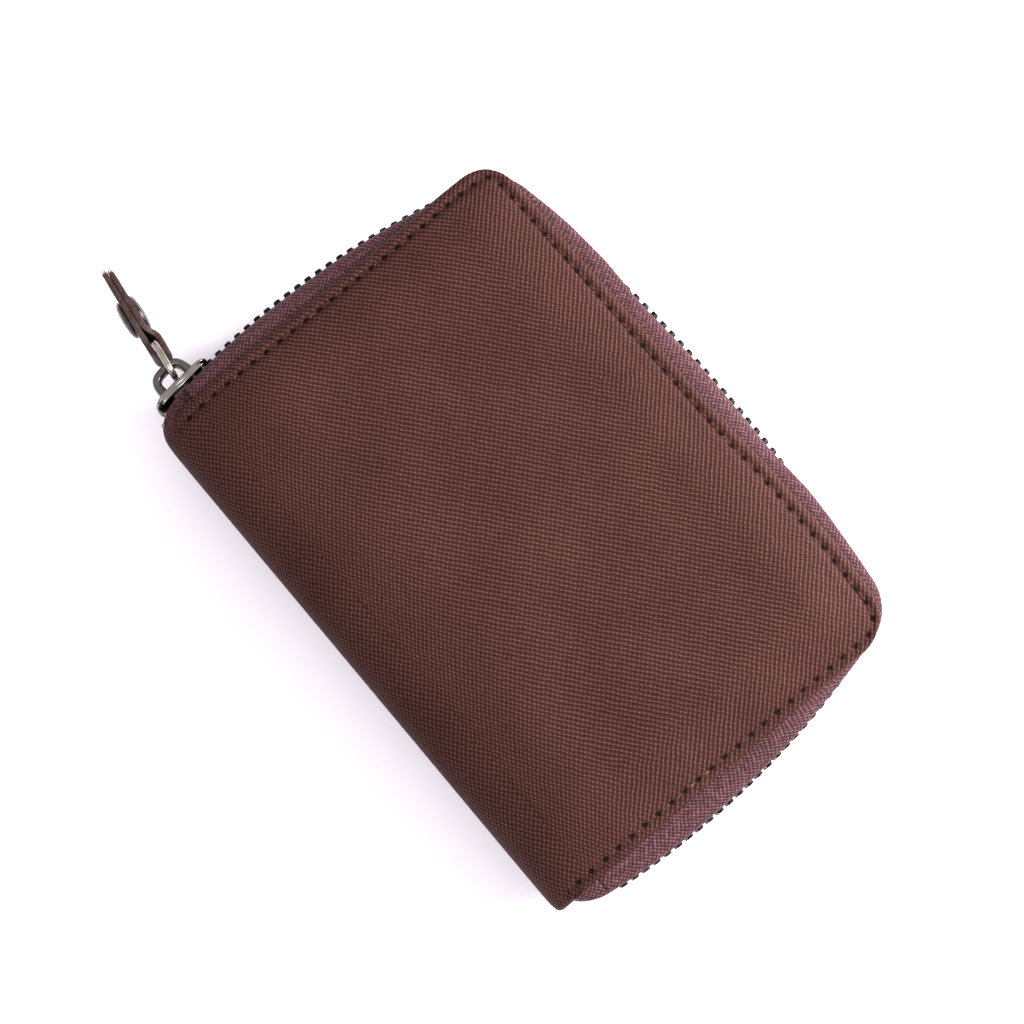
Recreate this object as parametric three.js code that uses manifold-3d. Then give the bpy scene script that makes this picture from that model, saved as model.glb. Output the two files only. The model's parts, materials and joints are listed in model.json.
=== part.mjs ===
// A small zip-round wallet: two soft covers joined by a fabric spine, closed on three sides by a metal
// zip whose slider carries a wire ring and a riveted strap. All sizes are in millimetres.
//
// Frame: +Z is up through the closed wallet, +Y runs along the spine and +X from the spine to the opening.
// The origin is the middle of the flat outer face of the back cover, on which the wallet lies.
import * as THREE from "three";
import { mergeVertices } from "three/addons/utils/BufferGeometryUtils.js";
import Module from "manifold-3d";

const wasm = await Module();
wasm.setup();

// ---- Driving dimensions ----
const length = 118; // along the spine, hem to hem
const width = 83; // from the outside of the spine to the long hem
const thickness = 24; // at the crown of the front cover
const hemX = width / 2;
const hemY = length / 2;
const cornerRadius = 6; // cover corners on the long zip side
const foldX = -33; // fold lines between the spine and the two covers
const foldLow = 0.8; // height of the back fold line
const foldHigh = 22.2; // height of the front fold line
const chainZ = (foldLow + foldHigh) / 2; // the zip runs midway between the fold lines
const frontHem = 19.8; // outer height of the front cover at its hem
const backHem = 3; // outer height of the back cover at its hem
const clothThickness = 1; // cover cloth with its turned hem
const gap = 0.3; // left between neighbouring pieces

// Zip: teeth on 2.45 mm centres, chain nearly 6 mm wide.
const toothPitch = 2.45;
const toothLength = 1.05; // along the chain
const toothDepth = 2.4; // across the tape
const toothReach = 0.9; // how far a tooth passes the middle of the chain
const rowHalfWidth = 2.9;
const tapeThickness = 0.6;

// The chain bows out past the hems: shallow arcs on the sides and tight ones at the corners.
const shortBowRadius = 165;
const shortBowX = -9; // where the bow of a short side stands out most
const shortBowY = 62.6;
const longBowRadius = 520;
const longBowX = 44.45;
const chainCornerRadius = 9;
const zipStartX = -32.5; // the rigid run of each tape ends next to the fold lines

const sliderStartX = -32; // middle of the slider when the wallet is closed
const pullTurn = THREE.MathUtils.degToRad(8.5); // the pull leans this far from +Y towards +X
const pullDroop = THREE.MathUtils.degToRad(9); // and hangs this far below level

const colours = {
  cloth: 0x5d3d38,
  tape: 0x6d4350,
  lining: 0x4a3230,
  board: 0x8a7a68,
  wadding: 0xd8d2c8,
  tooth: 0x2c2a2e,
  nickel: 0x8d8985,
  strap: 0x4a3532,
};

function material(colour, roughness, metalness = 0) {
  return new THREE.MeshStandardMaterial({ color: colour, roughness, metalness });
}

const cloth = material(colours.cloth, 0.8);
const tapeCloth = material(colours.tape, 0.85);
const liningCloth = material(colours.lining, 0.8);
const greyBoard = material(colours.board, 0.9);
const foam = material(colours.wadding, 0.95);
const darkMetal = material(colours.tooth, 0.35, 1);
const nickel = material(colours.nickel, 0.25, 1);
const strapSkin = material(colours.strap, 0.6);

const wallet = new THREE.Group();

function add(name, geometry, finish, parent = wallet) {
  const mesh = new THREE.Mesh(geometry, finish);
  mesh.name = name;
  parent.add(mesh);
  return mesh;
}

// ---- Solids from grids and booleans ----

// Six times the signed volume of an indexed triangle list, used to turn faces outwards.
function signedVolume(points, triangles) {
  let sum = 0;
  for (let i = 0; i < triangles.length; i += 3) {
    const [a, b, c] = [0, 1, 2].map((k) => new THREE.Vector3(...points[triangles[i + k]]));
    sum += a.dot(b.cross(c));
  }
  return sum;
}

function geometryFrom(points, triangles) {
  if (signedVolume(points, triangles) < 0) triangles.reverse();
  const geometry = new THREE.BufferGeometry();
  geometry.setAttribute("position", new THREE.Float32BufferAttribute(points.flat(), 3));
  geometry.setIndex(triangles);
  geometry.computeVertexNormals();
  return geometry;
}

// A closed sheet: upper and lower are equal grids of points, [row][column], joined round their edges.
function sheet(upper, lower) {
  const rows = upper.length;
  const columns = upper[0].length;
  const points = [...upper.flat(), ...lower.flat()];
  const triangles = [];
  const quad = (a, b, c, d) => triangles.push(a, b, c, a, c, d);
  const up = (r, c) => r * columns + c;
  const down = (r, c) => rows * columns + up(r, c);
  for (let r = 0; r + 1 < rows; r++) {
    for (let c = 0; c + 1 < columns; c++) {
      quad(up(r, c), up(r, c + 1), up(r + 1, c + 1), up(r + 1, c));
      quad(down(r, c), down(r + 1, c), down(r + 1, c + 1), down(r, c + 1));
    }
    quad(up(r, 0), up(r + 1, 0), down(r + 1, 0), down(r, 0));
    quad(up(r + 1, columns - 1), up(r, columns - 1), down(r, columns - 1), down(r + 1, columns - 1));
  }
  for (let c = 0; c + 1 < columns; c++) {
    quad(up(0, c + 1), up(0, c), down(0, c), down(0, c + 1));
    quad(up(rows - 1, c), up(rows - 1, c + 1), down(rows - 1, c + 1), down(rows - 1, c));
  }
  return geometryFrom(points, triangles);
}

function solid(geometry) {
  const bare = geometry.clone();
  bare.deleteAttribute("normal");
  bare.deleteAttribute("uv");
  const merged = mergeVertices(bare, 1e-4);
  return new wasm.Manifold(
    new wasm.Mesh({
      numProp: 3,
      vertProperties: merged.attributes.position.array,
      triVerts: new Uint32Array(merged.index.array),
    }),
  );
}

function geometryOf(shape) {
  const mesh = shape.getMesh();
  const geometry = new THREE.BufferGeometry();
  geometry.setAttribute("position", new THREE.BufferAttribute(mesh.vertProperties, 3));
  geometry.setIndex(new THREE.BufferAttribute(mesh.triVerts, 1));
  geometry.computeVertexNormals();
  return geometry;
}

// A flat shape drawn in two coordinates and given a height, centred on its own plane.
function plate(outline, height, curveSegments = 8) {
  const geometry = new THREE.ExtrudeGeometry(outline, { depth: height, bevelEnabled: false, curveSegments });
  return geometry.translate(0, 0, -height / 2);
}

// A rectangle from x0 to x1, symmetrical in y, with its corners on the x1 side rounded.
function panelOutline(x0, x1, halfY, radius) {
  const shape = new THREE.Shape();
  shape.moveTo(x0, -halfY);
  shape.lineTo(x1 - radius, -halfY);
  shape.absarc(x1 - radius, radius - halfY, radius, -Math.PI / 2, 0, false);
  shape.absarc(x1 - radius, halfY - radius, radius, 0, Math.PI / 2, false);
  shape.lineTo(x0, halfY);
  return shape;
}

// A flat panel lying between two heights.
function panel(name, finish, x0, x1, halfY, radius, low, high) {
  const geometry = plate(panelOutline(x0, x1, halfY, radius), high - low, 5);
  return add(name, geometry.translate(0, 0, (low + high) / 2), finish);
}

// ---- Covers ----

// How far the long hem lies from the Y axis at a given y, with the rounded corners.
function hemAt(y, inset = 0) {
  const past = Math.abs(y) - (hemY - cornerRadius);
  if (past <= 0) return hemX - inset;
  const radius = cornerRadius - inset;
  return hemX - cornerRadius + Math.sqrt(Math.max(0, radius * radius - past * past));
}

// Distance from a point in the cover to the nearest of its three hems.
function hemDistance(x, y) {
  const dx = hemX - x;
  const dy = hemY - Math.abs(y);
  if (dx > cornerRadius || dy > cornerRadius) return Math.min(dx, dy);
  return cornerRadius - Math.hypot(cornerRadius - dx, cornerRadius - dy);
}

// Outer surface of the front cover: a padded crown that falls to its hems and rolls into the spine.
function frontHeight(x, y) {
  const fromHem = Math.min(1, hemDistance(x, y) / 16);
  const crown = frontHem + (thickness - frontHem) * (1 - (1 - fromHem) ** 2.2);
  const rollStart = foldX + 16;
  const roll = Math.max(0, (rollStart - x) / 16);
  return crown - (thickness - foldHigh) * roll ** 2.2 * fromHem;
}

// Outer surface of the back cover: flat where it rests, turned up at its hems and at the spine.
function backHeight(x, y) {
  const fromHem = Math.min(1, Math.max(0, hemDistance(x, y)) / 9);
  const roll = Math.max(0, (foldX + 6 - x) / 6);
  return backHem * (1 - fromHem) ** 2 + foldLow * roll ** 2 * fromHem;
}

// Rows in y and shares in x, closer together near the hems where the cover curves.
const coverRows = [59, 58.6, 57.6, 56.2, 54.6, 53, 49.5, 45, 39, 20];
const rowsOfY = [...coverRows.map((y) => -y), ...coverRows.toReversed()];
const sharesOfX = [0, 0.05, 0.11, 0.18, 0.26, 0.5, 0.72, 0.8, 0.87, 0.93, 0.97, 1];

// One cloth cover, from the fold line to the hems; side is 1 where its outside faces up and -1 down.
function cover(name, heightAt, side) {
  const x0 = foldX + gap / 2;
  const grid = (offset) =>
    rowsOfY.map((y) =>
      sharesOfX.map((share) => {
        const x = x0 + (hemAt(y) - x0) * share;
        return [x, y, heightAt(x, y) + offset];
      }),
    );
  return add(name, sheet(grid(0), grid(-side * clothThickness)), cloth);
}

cover("front_cover", frontHeight, 1);
cover("back_cover", backHeight, -1);

// Foam wadding between a cover and its board: one face follows the cover, the other is flat.
function wadding(name, heightAt, side, flatZ) {
  const inset = 7;
  const x0 = foldX + 2;
  const x1 = hemX - inset;
  const halfY = hemY - inset;
  const ys = [-1, -0.93, -0.8, -0.4, 0.4, 0.8, 0.93, 1].map((t) => t * halfY);
  const xs = [0, 0.08, 0.2, 0.4, 0.75, 0.88, 1].map((t) => x0 + t * (x1 - x0));
  const skin = side * (clothThickness + 2 * gap); // the coarser facets of the foam stay clear of the cloth
  const curved = ys.map((y) => xs.map((x) => [x, y, heightAt(x, y) - skin]));
  const flat = ys.map((y) => xs.map((x) => [x, y, flatZ]));
  add(name, sheet(curved, flat), foam);
}

wadding("front_wadding", frontHeight, 1, 18.9);
wadding("back_wadding", backHeight, -1, 4);

// Boards and linings. The board stops inside the seam, and the lining runs to it.
const boardInset = 5;
const liningInset = 1.5;
const liningCorner = 16; // the linings' corners keep clear of the chain where it runs under the covers
panel("front_board", greyBoard, -32, hemX - boardInset, hemY - boardInset, 2, 17.8, 18.6);
panel("back_board", greyBoard, -32, hemX - boardInset, hemY - boardInset, 2, 4.3, 5.1);
panel("front_lining", liningCloth, -32, hemX - liningInset, hemY - liningInset, liningCorner, 17.1, 17.5);
panel("back_lining", liningCloth, -32, hemX - liningInset, hemY - liningInset, liningCorner, 5.4, 5.8);

// Inner pockets, open towards the long zip side. The card pockets step back one above the other.
const pocketHalfY = 51;
const cardPocketEdges = [30, 21, 12];
const cardPocketRise = 1.2; // a card and two layers of cloth
cardPocketEdges.forEach((edge, i) => {
  const low = 6.5 + i * cardPocketRise;
  panel(`card_pocket_${i + 1}`, liningCloth, -31, edge, pocketHalfY, 0.5, low, low + 0.4);
});
panel("note_pocket", liningCloth, -31, 22, pocketHalfY, 0.5, 16.2, 16.6);

// ---- Spine ----

// Half profile of the spine: a squarish curve from its outermost point up or down to a fold line.
function spineCurve(foldHeight, power, steps) {
  const depth = foldX - gap / 2 + hemX;
  const rise = foldHeight - chainZ;
  return Array.from({ length: steps + 1 }, (_, i) => {
    const angle = (i / steps) * (Math.PI / 2);
    const x = -hemX + depth * (1 - Math.cos(angle) ** (2 / power));
    const z = chainZ + rise * Math.sin(angle) ** (2 / power);
    return [x, z];
  });
}

function spineCover() {
  const outside = [...spineCurve(foldLow, 2.6, 7).reverse(), ...spineCurve(foldHigh, 2.2, 7).slice(1)];
  const middle = outside.map(([, z]) => (z - chainZ) / (foldHigh - chainZ));
  const thin = (foldHigh - foldLow - 2 * clothThickness) / (foldHigh - foldLow);
  const inside = outside.map(([x, z], i) => {
    const inward = clothThickness * Math.sqrt(Math.max(0, 1 - middle[i] ** 2));
    return [x + inward, chainZ + (z - chainZ) * thin];
  });
  const ends = [-hemY, hemY];
  const grid = (profile) => ends.map((y) => profile.map(([x, z]) => [x, y, z]));
  return sheet(grid(outside), grid(inside));
}

add("spine_cover", spineCover(), cloth);

// The spine's lining hangs inside it from one board to the other.
const spineLining = new THREE.BoxGeometry(0.5, 2 * pocketHalfY, 14);
spineLining.translate(foldX - 1.5, 0, chainZ);
add("spine_lining", spineLining, liningCloth);

// ---- Zip path ----

// Centre of the corner arc that touches both the short and the long bow from inside.
function cornerCentre() {
  const shortCentre = [shortBowX, shortBowY - shortBowRadius];
  const longCentre = [longBowX - longBowRadius, 0];
  const fromShort = shortBowRadius - chainCornerRadius;
  const fromLong = longBowRadius - chainCornerRadius;
  const dx = longCentre[0] - shortCentre[0];
  const dy = longCentre[1] - shortCentre[1];
  const between = Math.hypot(dx, dy);
  const along = (fromShort ** 2 - fromLong ** 2 + between ** 2) / (2 * between);
  const aside = Math.sqrt(fromShort ** 2 - along ** 2);
  return [
    shortCentre[0] + (along * dx - aside * dy * -1) / between,
    shortCentre[1] + (along * dy + aside * dx * -1) / between,
  ];
}

// The chain's five arcs, from the slider's end of the spine clockwise to the other end.
function chainArcs() {
  const [cx, cy] = cornerCentre();
  const shortCentre = [shortBowX, shortBowY - shortBowRadius];
  const longCentre = [longBowX - longBowRadius, 0];
  const start = Math.PI / 2 - Math.asin((zipStartX - shortBowX) / shortBowRadius);
  const first = Math.atan2(cy - shortCentre[1], cx - shortCentre[0]);
  const second = Math.atan2(cy, cx - longCentre[0]);
  return [
    { x: shortCentre[0], y: shortCentre[1], radius: shortBowRadius, from: start, to: first },
    { x: cx, y: cy, radius: chainCornerRadius, from: first, to: second },
    { x: longCentre[0], y: 0, radius: longBowRadius, from: second, to: -second },
    { x: cx, y: -cy, radius: chainCornerRadius, from: -second, to: -first },
    { x: shortCentre[0], y: -shortCentre[1], radius: shortBowRadius, from: -first, to: -start },
  ];
}

const arcs = chainArcs();

function onArc(arc, share) {
  const angle = arc.from + (arc.to - arc.from) * share;
  const normal = [Math.cos(angle), Math.sin(angle)];
  return { point: [arc.x + arc.radius * normal[0], arc.y + arc.radius * normal[1]], normal };
}

const arcLengths = arcs.map((arc) => arc.radius * Math.abs(arc.to - arc.from));
const chainLength = arcLengths.reduce((a, b) => a + b, 0);

// The point and outward normal at a distance along the chain.
function chainAt(distance) {
  let left = distance;
  for (let i = 0; i < arcs.length; i++) {
    if (left <= arcLengths[i] || i === arcs.length - 1) return onArc(arcs[i], left / arcLengths[i]);
    left -= arcLengths[i];
  }
}

// The hem's outline drawn in by an inset, in five pieces that face the chain's five arcs.
function hemPiece(index, share, inset) {
  const flatX = hemX - cornerRadius;
  const flatY = hemY - cornerRadius;
  const radius = cornerRadius - inset;
  const turn = (angle, sign) => [flatX + radius * Math.cos(angle), sign * (flatY + radius * Math.sin(angle))];
  const quarter = Math.PI / 2;
  if (index === 0) return [zipStartX + (flatX - zipStartX) * share, hemY - inset];
  if (index === 1) return turn(quarter * (1 - share), 1);
  if (index === 2) return [hemX - inset, flatY * (1 - 2 * share)];
  if (index === 3) return turn(quarter * share, -1);
  return [flatX + (zipStartX - flatX) * share, inset - hemY];
}

// ---- Zip tapes and teeth ----

// One tape: sewn under the hem, out over the edge and down (side 1) or up (side -1) to its teeth.
function tape(side, seamZ) {
  const stations = [12, 7, 14, 7, 12];
  const nearChain = chainZ + side * (rowHalfWidth + gap);
  const bend = chainZ + side * 5.4;
  const half = tapeThickness / 2;
  const outer = [];
  const inner = [];
  stations.forEach((count, i) => {
    for (let k = i ? 1 : 0; k <= count; k++) {
      const { point, normal } = onArc(arcs[i], k / count);
      const edge = hemPiece(i, k / count, 1);
      const margin = hemPiece(i, k / count, 4.5);
      const out = (at, z, level, flat) => [
        at[0] + normal[0] * level * half,
        at[1] + normal[1] * level * half,
        z + side * flat * half,
      ];
      const row = (sign) => [
        out(point, nearChain, sign, 0),
        out(point, bend, sign, 0.5 * sign),
        out(edge, seamZ, 0.5 * sign, sign),
        out(margin, seamZ, 0, sign),
      ];
      outer.push(row(1));
      inner.push(row(-1));
    }
  });
  return sheet(outer, inner);
}

add("front_tape", tape(1, 18.15), tapeCloth);
add("back_tape", tape(-1, 4.65), tapeCloth);

// A row of teeth on its beaded cord. The second row is shifted by half a pitch so that the rows mesh.
function teeth(side, shift) {
  const base = chainZ + side * rowHalfWidth;
  const cord = chainZ + side * (toothReach + 0.35);
  const tip = chainZ - side * toothReach;
  const slope = 0.08;
  const stations = [];
  const count = Math.floor((chainLength - shift - toothPitch) / toothPitch);
  const margin = (chainLength - count * toothPitch) / 2;
  stations.push([0, cord]);
  for (let i = 0; i < count; i++) {
    const start = margin + shift + i * toothPitch;
    stations.push([start, cord], [start + slope, tip]);
    stations.push([start + toothLength - slope, tip], [start + toothLength, cord]);
  }
  stations.push([chainLength, cord]);
  const face = (sign) =>
    stations.map(([distance, z]) => {
      const { point, normal } = chainAt(distance);
      const reach = (sign * toothDepth) / 2;
      const x = point[0] + normal[0] * reach;
      const y = point[1] + normal[1] * reach;
      return [
        [x, y, base],
        [x, y, z],
      ];
    });
  return sheet(face(1), face(-1));
}

add("front_teeth", teeth(1, 0), darkMetal);
add("back_teeth", teeth(-1, toothPitch / 2), darkMetal);

// Where the zip ends on the spine: the joined tapes are turned under and sewn down past the slider at
// its head and past the last teeth at its tail, and metal stops are crimped on them.
function tapeEnd(name, x0, x1, side) {
  const geometry = new THREE.BoxGeometry(x1 - x0, tapeThickness, 7);
  add(name, geometry.translate((x0 + x1) / 2, side * (hemY + gap + tapeThickness / 2), chainZ), tapeCloth);
}

tapeEnd("head_tape_end", -hemX + 0.2, foldX - 6.2, 1);
tapeEnd("tail_tape_end", foldX - 5, foldX - 0.4, -1);

function stop(name, x, side, z, height) {
  const outline = new THREE.Shape();
  outline.absellipse(0, 0, 0.9, 0.8, 0, Math.PI * 2);
  const y = side * (hemY + tapeThickness + 2 * gap + 0.8);
  add(name, plate(outline, height, 3).translate(x, y, z), nickel);
}

stop("front_top_stop", foldX - 7.2, 1, chainZ + 1.7, 2.4);
stop("back_top_stop", foldX - 7.2, 1, chainZ - 1.7, 2.4);
stop("bottom_stop", foldX - 1.6, -1, chainZ, 5);

// ---- Slider ----

// The slider's own axes: X along the chain away from the closed end, Y outwards, Z across the chain.
const bow = Math.asin((sliderStartX - shortBowX) / shortBowRadius);
const slider = new THREE.Group();
slider.position.set(
  shortBowX + shortBowRadius * Math.sin(bow),
  shortBowY - shortBowRadius * (1 - Math.cos(bow)),
  chainZ,
);
slider.rotation.z = -bow;
wallet.add(slider);

const sliderHalf = 6.6; // half its length
const mouthHalf = 4.8; // half its width at the mouth, where the two rows part
const tailHalf = 4.1; // half its width at the tail
const channelHalf = 1.6; // half the height of the channel that the teeth run in
const plateThickness = 0.9;
const lipWidth = 0.8;
const tapeSlot = 0.9; // half the slot that the tape runs in

// Outline of a slider plate in X and Z: wide shoulders at the mouth and a narrow tail.
function sliderOutline(shrink = 0) {
  const mouth = mouthHalf - shrink;
  const tail = tailHalf - shrink;
  const shape = new THREE.Shape();
  shape.moveTo(-sliderHalf + 1.6, -mouth);
  shape.lineTo(-1.5, -mouth);
  shape.lineTo(1.5, -tail);
  shape.lineTo(sliderHalf - 1.2, -tail);
  shape.quadraticCurveTo(sliderHalf, -tail, sliderHalf, -tail + 1.4);
  shape.lineTo(sliderHalf, tail - 1.4);
  shape.quadraticCurveTo(sliderHalf, tail, sliderHalf - 1.2, tail);
  shape.lineTo(1.5, tail);
  shape.lineTo(-1.5, mouth);
  shape.lineTo(-sliderHalf + 1.6, mouth);
  shape.quadraticCurveTo(-sliderHalf, mouth - 0.6, -sliderHalf, 0);
  shape.quadraticCurveTo(-sliderHalf, 0.6 - mouth, -sliderHalf + 1.6, -mouth);
  return shape;
}

// A plate drawn in the slider's X and Z and thick in Y, between two levels.
function levelPlate(outline, low, high) {
  const geometry = plate(outline, high - low, 4);
  geometry.rotateX(Math.PI / 2);
  return geometry.translate(0, (low + high) / 2, 0);
}

function sliderBody() {
  const top = channelHalf + plateThickness;
  let body = solid(levelPlate(sliderOutline(), -top, top));
  const channel = new THREE.BoxGeometry(4 * sliderHalf, 2 * channelHalf, 2 * (tailHalf - lipWidth));
  const mouthRoom = levelPlate(sliderOutline(lipWidth), -channelHalf, channelHalf);
  const slot = new THREE.BoxGeometry(4 * sliderHalf, 2 * tapeSlot, 4 * mouthHalf);
  for (const room of [channel, mouthRoom, slot]) body = body.subtract(solid(room));
  const wedge = new THREE.Shape();
  wedge.moveTo(-sliderHalf + 0.3, -1.1);
  wedge.lineTo(-sliderHalf + 0.3, 1.1);
  wedge.lineTo(-sliderHalf + 4, 0.35);
  wedge.lineTo(-sliderHalf + 4, -0.35);
  return geometryOf(body.add(solid(levelPlate(wedge, -top, top))));
}

add("slider_body", sliderBody(), nickel, slider);

// The crown: an arch on two feet that holds the pull ring against the slider, drawn from the side.
const crownFoot = channelHalf + plateThickness + gap;
const crownTop = 7.4;
const crownHalf = 4.1;
const crownBand = 1.1; // how thick the arch is

// The line of the arch from foot to foot, drawn in by an inset.
function archOutline(foot, inset) {
  const left = inset - crownHalf;
  const right = crownHalf - inset;
  const top = crownTop - inset;
  const shape = new THREE.Shape();
  shape.moveTo(left, foot);
  shape.bezierCurveTo(left - 0.3, 6.9 - inset, -1.6, top, 0.4, top);
  shape.bezierCurveTo(2.6, top, right, 6.2 - inset, right, foot);
  return shape;
}

function crown() {
  const arch = solid(plate(archOutline(crownFoot, 0), 2.6, 7));
  return geometryOf(arch.subtract(solid(plate(archOutline(crownFoot - 1, crownBand), 4, 7))));
}

add("slider_crown", crown(), nickel, slider);

// ---- Pull ring, strap and rivet ----

// The pull's own axes: X along the pull, Y across its thickness, Z across its width.
const pullPivot = 3.6; // distance of the ring's near bar from the middle of the chain
const pull = new THREE.Group();
const lean = new THREE.Group();
pull.position.set(0.3, pullPivot, 0);
pull.rotation.z = Math.PI / 2 - pullTurn + bow;
lean.rotation.y = pullDroop;
slider.add(pull);
pull.add(lean);

const wire = 1.3;
const ringReach = 8; // near bar to far bar
const ringHalfWidth = 4;

// A closed wire ring with square corners eased by arcs.
function pullRing() {
  const bend = 2;
  const shape = new THREE.Shape();
  const outer = wire / 2;
  const frame = (path, grow) => {
    const x0 = -grow;
    const x1 = ringReach + grow;
    const half = ringHalfWidth + grow;
    const radius = bend + grow;
    path.moveTo(x0 + radius, -half);
    path.absarc(x1 - radius, radius - half, radius, -Math.PI / 2, 0, false);
    path.absarc(x1 - radius, half - radius, radius, 0, Math.PI / 2, false);
    path.absarc(x0 + radius, half - radius, radius, Math.PI / 2, Math.PI, false);
    path.absarc(x0 + radius, radius - half, radius, Math.PI, Math.PI * 1.5, false);
  };
  frame(shape, outer);
  const hole = new THREE.Path();
  frame(hole, -outer);
  shape.holes.push(hole);
  const blank = { depth: wire - 0.6, bevelThickness: 0.3, bevelSize: 0.3, bevelOffset: -0.3, bevelSegments: 2 };
  const geometry = new THREE.ExtrudeGeometry(shape, { ...blank, curveSegments: 5 });
  geometry.translate(0, 0, -(wire - 0.6) / 2);
  return geometry.rotateX(Math.PI / 2);
}

add("pull_ring", pullRing(), nickel, lean);

const strapThickness = 1.1;
const strapEnd = 24.7; // from the ring's near bar to the cut end
const strapHalfWidth = 4.8;
const waistHalfWidth = 2.9; // where the strap passes through the ring
const foldCentre = 6.6; // middle of the loop that wraps the far bar, from the near bar
const loopHalf = 1.4; // half the distance between the two layers at the ring
const loopEnd = 8.4; // past the far bar the second layer bends in,
const joinStart = 12; // and from here the two layers lie together
const rivetX = 16;
const rivetY = 0.7; // the middle of the two layers where they lie together
const postRadius = 1.4;

// The folded strap seen on edge: the layer on the spine's side is straight, and the other is brought in
// to it past the ring.
function strapProfile() {
  const half = strapThickness / 2;
  const shape = new THREE.Shape();
  const straight = loopHalf;
  const joined = straight - strapThickness - 0.2;
  shape.moveTo(strapEnd, straight + half);
  shape.lineTo(foldCentre, straight + half);
  shape.absarc(foldCentre, 0, loopHalf + half, Math.PI / 2, -Math.PI / 2, false);
  shape.lineTo(loopEnd, -loopHalf - half);
  shape.bezierCurveTo(loopEnd + 1.4, -loopHalf - half, loopEnd + 1.8, joined - half, joinStart, joined - half);
  shape.lineTo(strapEnd, joined - half);
  shape.lineTo(strapEnd, joined + half);
  shape.lineTo(joinStart, joined + half);
  shape.bezierCurveTo(loopEnd + 1.8, joined + half, loopEnd + 1.4, half - loopHalf, loopEnd, half - loopHalf);
  shape.lineTo(foldCentre, half - loopHalf);
  shape.absarc(foldCentre, 0, loopHalf - half, -Math.PI / 2, Math.PI / 2, true);
  shape.lineTo(strapEnd, straight - half);
  return plate(shape, 2 * strapHalfWidth, 6);
}

// The strap seen flat: wide at the rivet and drawn in to a waist that fits the ring.
function strapOutline() {
  const shape = new THREE.Shape();
  shape.moveTo(0, -waistHalfWidth);
  shape.lineTo(loopEnd, -waistHalfWidth);
  shape.bezierCurveTo(loopEnd + 2, -waistHalfWidth, loopEnd + 2, -strapHalfWidth, joinStart + 1, -strapHalfWidth);
  shape.lineTo(strapEnd + 1, -strapHalfWidth);
  shape.lineTo(strapEnd + 1, strapHalfWidth);
  shape.lineTo(joinStart + 1, strapHalfWidth);
  shape.bezierCurveTo(loopEnd + 2, strapHalfWidth, loopEnd + 2, waistHalfWidth, loopEnd, waistHalfWidth);
  shape.lineTo(0, waistHalfWidth);
  return plate(shape, 12, 5).rotateX(Math.PI / 2);
}

function strap() {
  const hole = new THREE.CylinderGeometry(postRadius + gap, postRadius + gap, 12, 16);
  hole.translate(rivetX, 0, 0);
  const folded = solid(strapProfile()).intersect(solid(strapOutline()));
  return geometryOf(folded.subtract(solid(hole)));
}

add("pull_strap", strap(), strapSkin, lean);

// The rivet's two halves: a domed cap with a post, and a domed cap that the post ends in.
const capRadius = 4;
const capHeight = 1.5;
const strapSide = strapThickness + 0.1 + gap; // from the middle of the layers to a cap's flat face

function rivetCap(side, postLength) {
  const profile = [new THREE.Vector2(0, capHeight)];
  const steps = 6;
  for (let i = 1; i <= steps; i++) {
    const angle = (i / steps) * (Math.PI / 2);
    profile.push(new THREE.Vector2(capRadius * Math.sin(angle), 0.3 + (capHeight - 0.3) * Math.cos(angle)));
  }
  profile.push(new THREE.Vector2(capRadius - 0.2, 0));
  if (postLength) profile.push(new THREE.Vector2(postRadius, 0), new THREE.Vector2(postRadius, -postLength));
  profile.push(new THREE.Vector2(0, -postLength));
  const geometry = new THREE.LatheGeometry(profile.reverse(), 24);
  if (side < 0) geometry.rotateX(Math.PI);
  return geometry.translate(rivetX, rivetY + side * strapSide, 0);
}

add("rivet_cap", rivetCap(1, 2 * strapSide - gap), darkMetal, lean);
add("rivet_base", rivetCap(-1, 0), darkMetal, lean);

export default wallet;
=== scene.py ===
"""A small zip-round wallet: padded cloth covers on a cloth spine, a metal zip, and a riveted strap."""
import json
import math
import random

import bmesh
import bpy
import numpy as np
from mathutils import Matrix, Vector


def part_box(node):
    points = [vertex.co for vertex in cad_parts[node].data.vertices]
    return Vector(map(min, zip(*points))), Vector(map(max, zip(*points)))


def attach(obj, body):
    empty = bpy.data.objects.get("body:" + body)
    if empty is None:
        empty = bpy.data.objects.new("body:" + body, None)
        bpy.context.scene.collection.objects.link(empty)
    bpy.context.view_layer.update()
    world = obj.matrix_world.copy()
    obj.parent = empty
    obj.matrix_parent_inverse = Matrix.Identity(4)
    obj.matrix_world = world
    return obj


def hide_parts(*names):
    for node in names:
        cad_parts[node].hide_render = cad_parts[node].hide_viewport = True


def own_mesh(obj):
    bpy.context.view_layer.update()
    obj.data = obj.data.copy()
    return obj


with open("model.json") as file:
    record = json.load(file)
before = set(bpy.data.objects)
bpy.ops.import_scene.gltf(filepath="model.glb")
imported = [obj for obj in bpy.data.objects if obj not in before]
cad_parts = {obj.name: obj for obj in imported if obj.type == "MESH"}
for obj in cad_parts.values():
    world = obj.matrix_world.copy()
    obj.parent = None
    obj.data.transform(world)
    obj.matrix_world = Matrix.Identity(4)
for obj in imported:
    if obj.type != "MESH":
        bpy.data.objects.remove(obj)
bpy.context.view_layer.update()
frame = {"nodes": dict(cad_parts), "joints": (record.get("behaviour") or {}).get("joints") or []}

# ---- Camera ----
# The wallet is seen from nearly above with a short telephoto lens. The camera leans a little towards
# the tail of the spine, and the top of the view points along the diagonal of the cover.
mm = 0.001
rest_height = 12 * mm
look_at = Vector((0, 4 * mm, rest_height))
lean = math.radians(11.1)
lean_towards = math.radians(229.3)
top_of_view = math.radians(49.9)
camera_distance = 450.6 * mm

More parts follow.
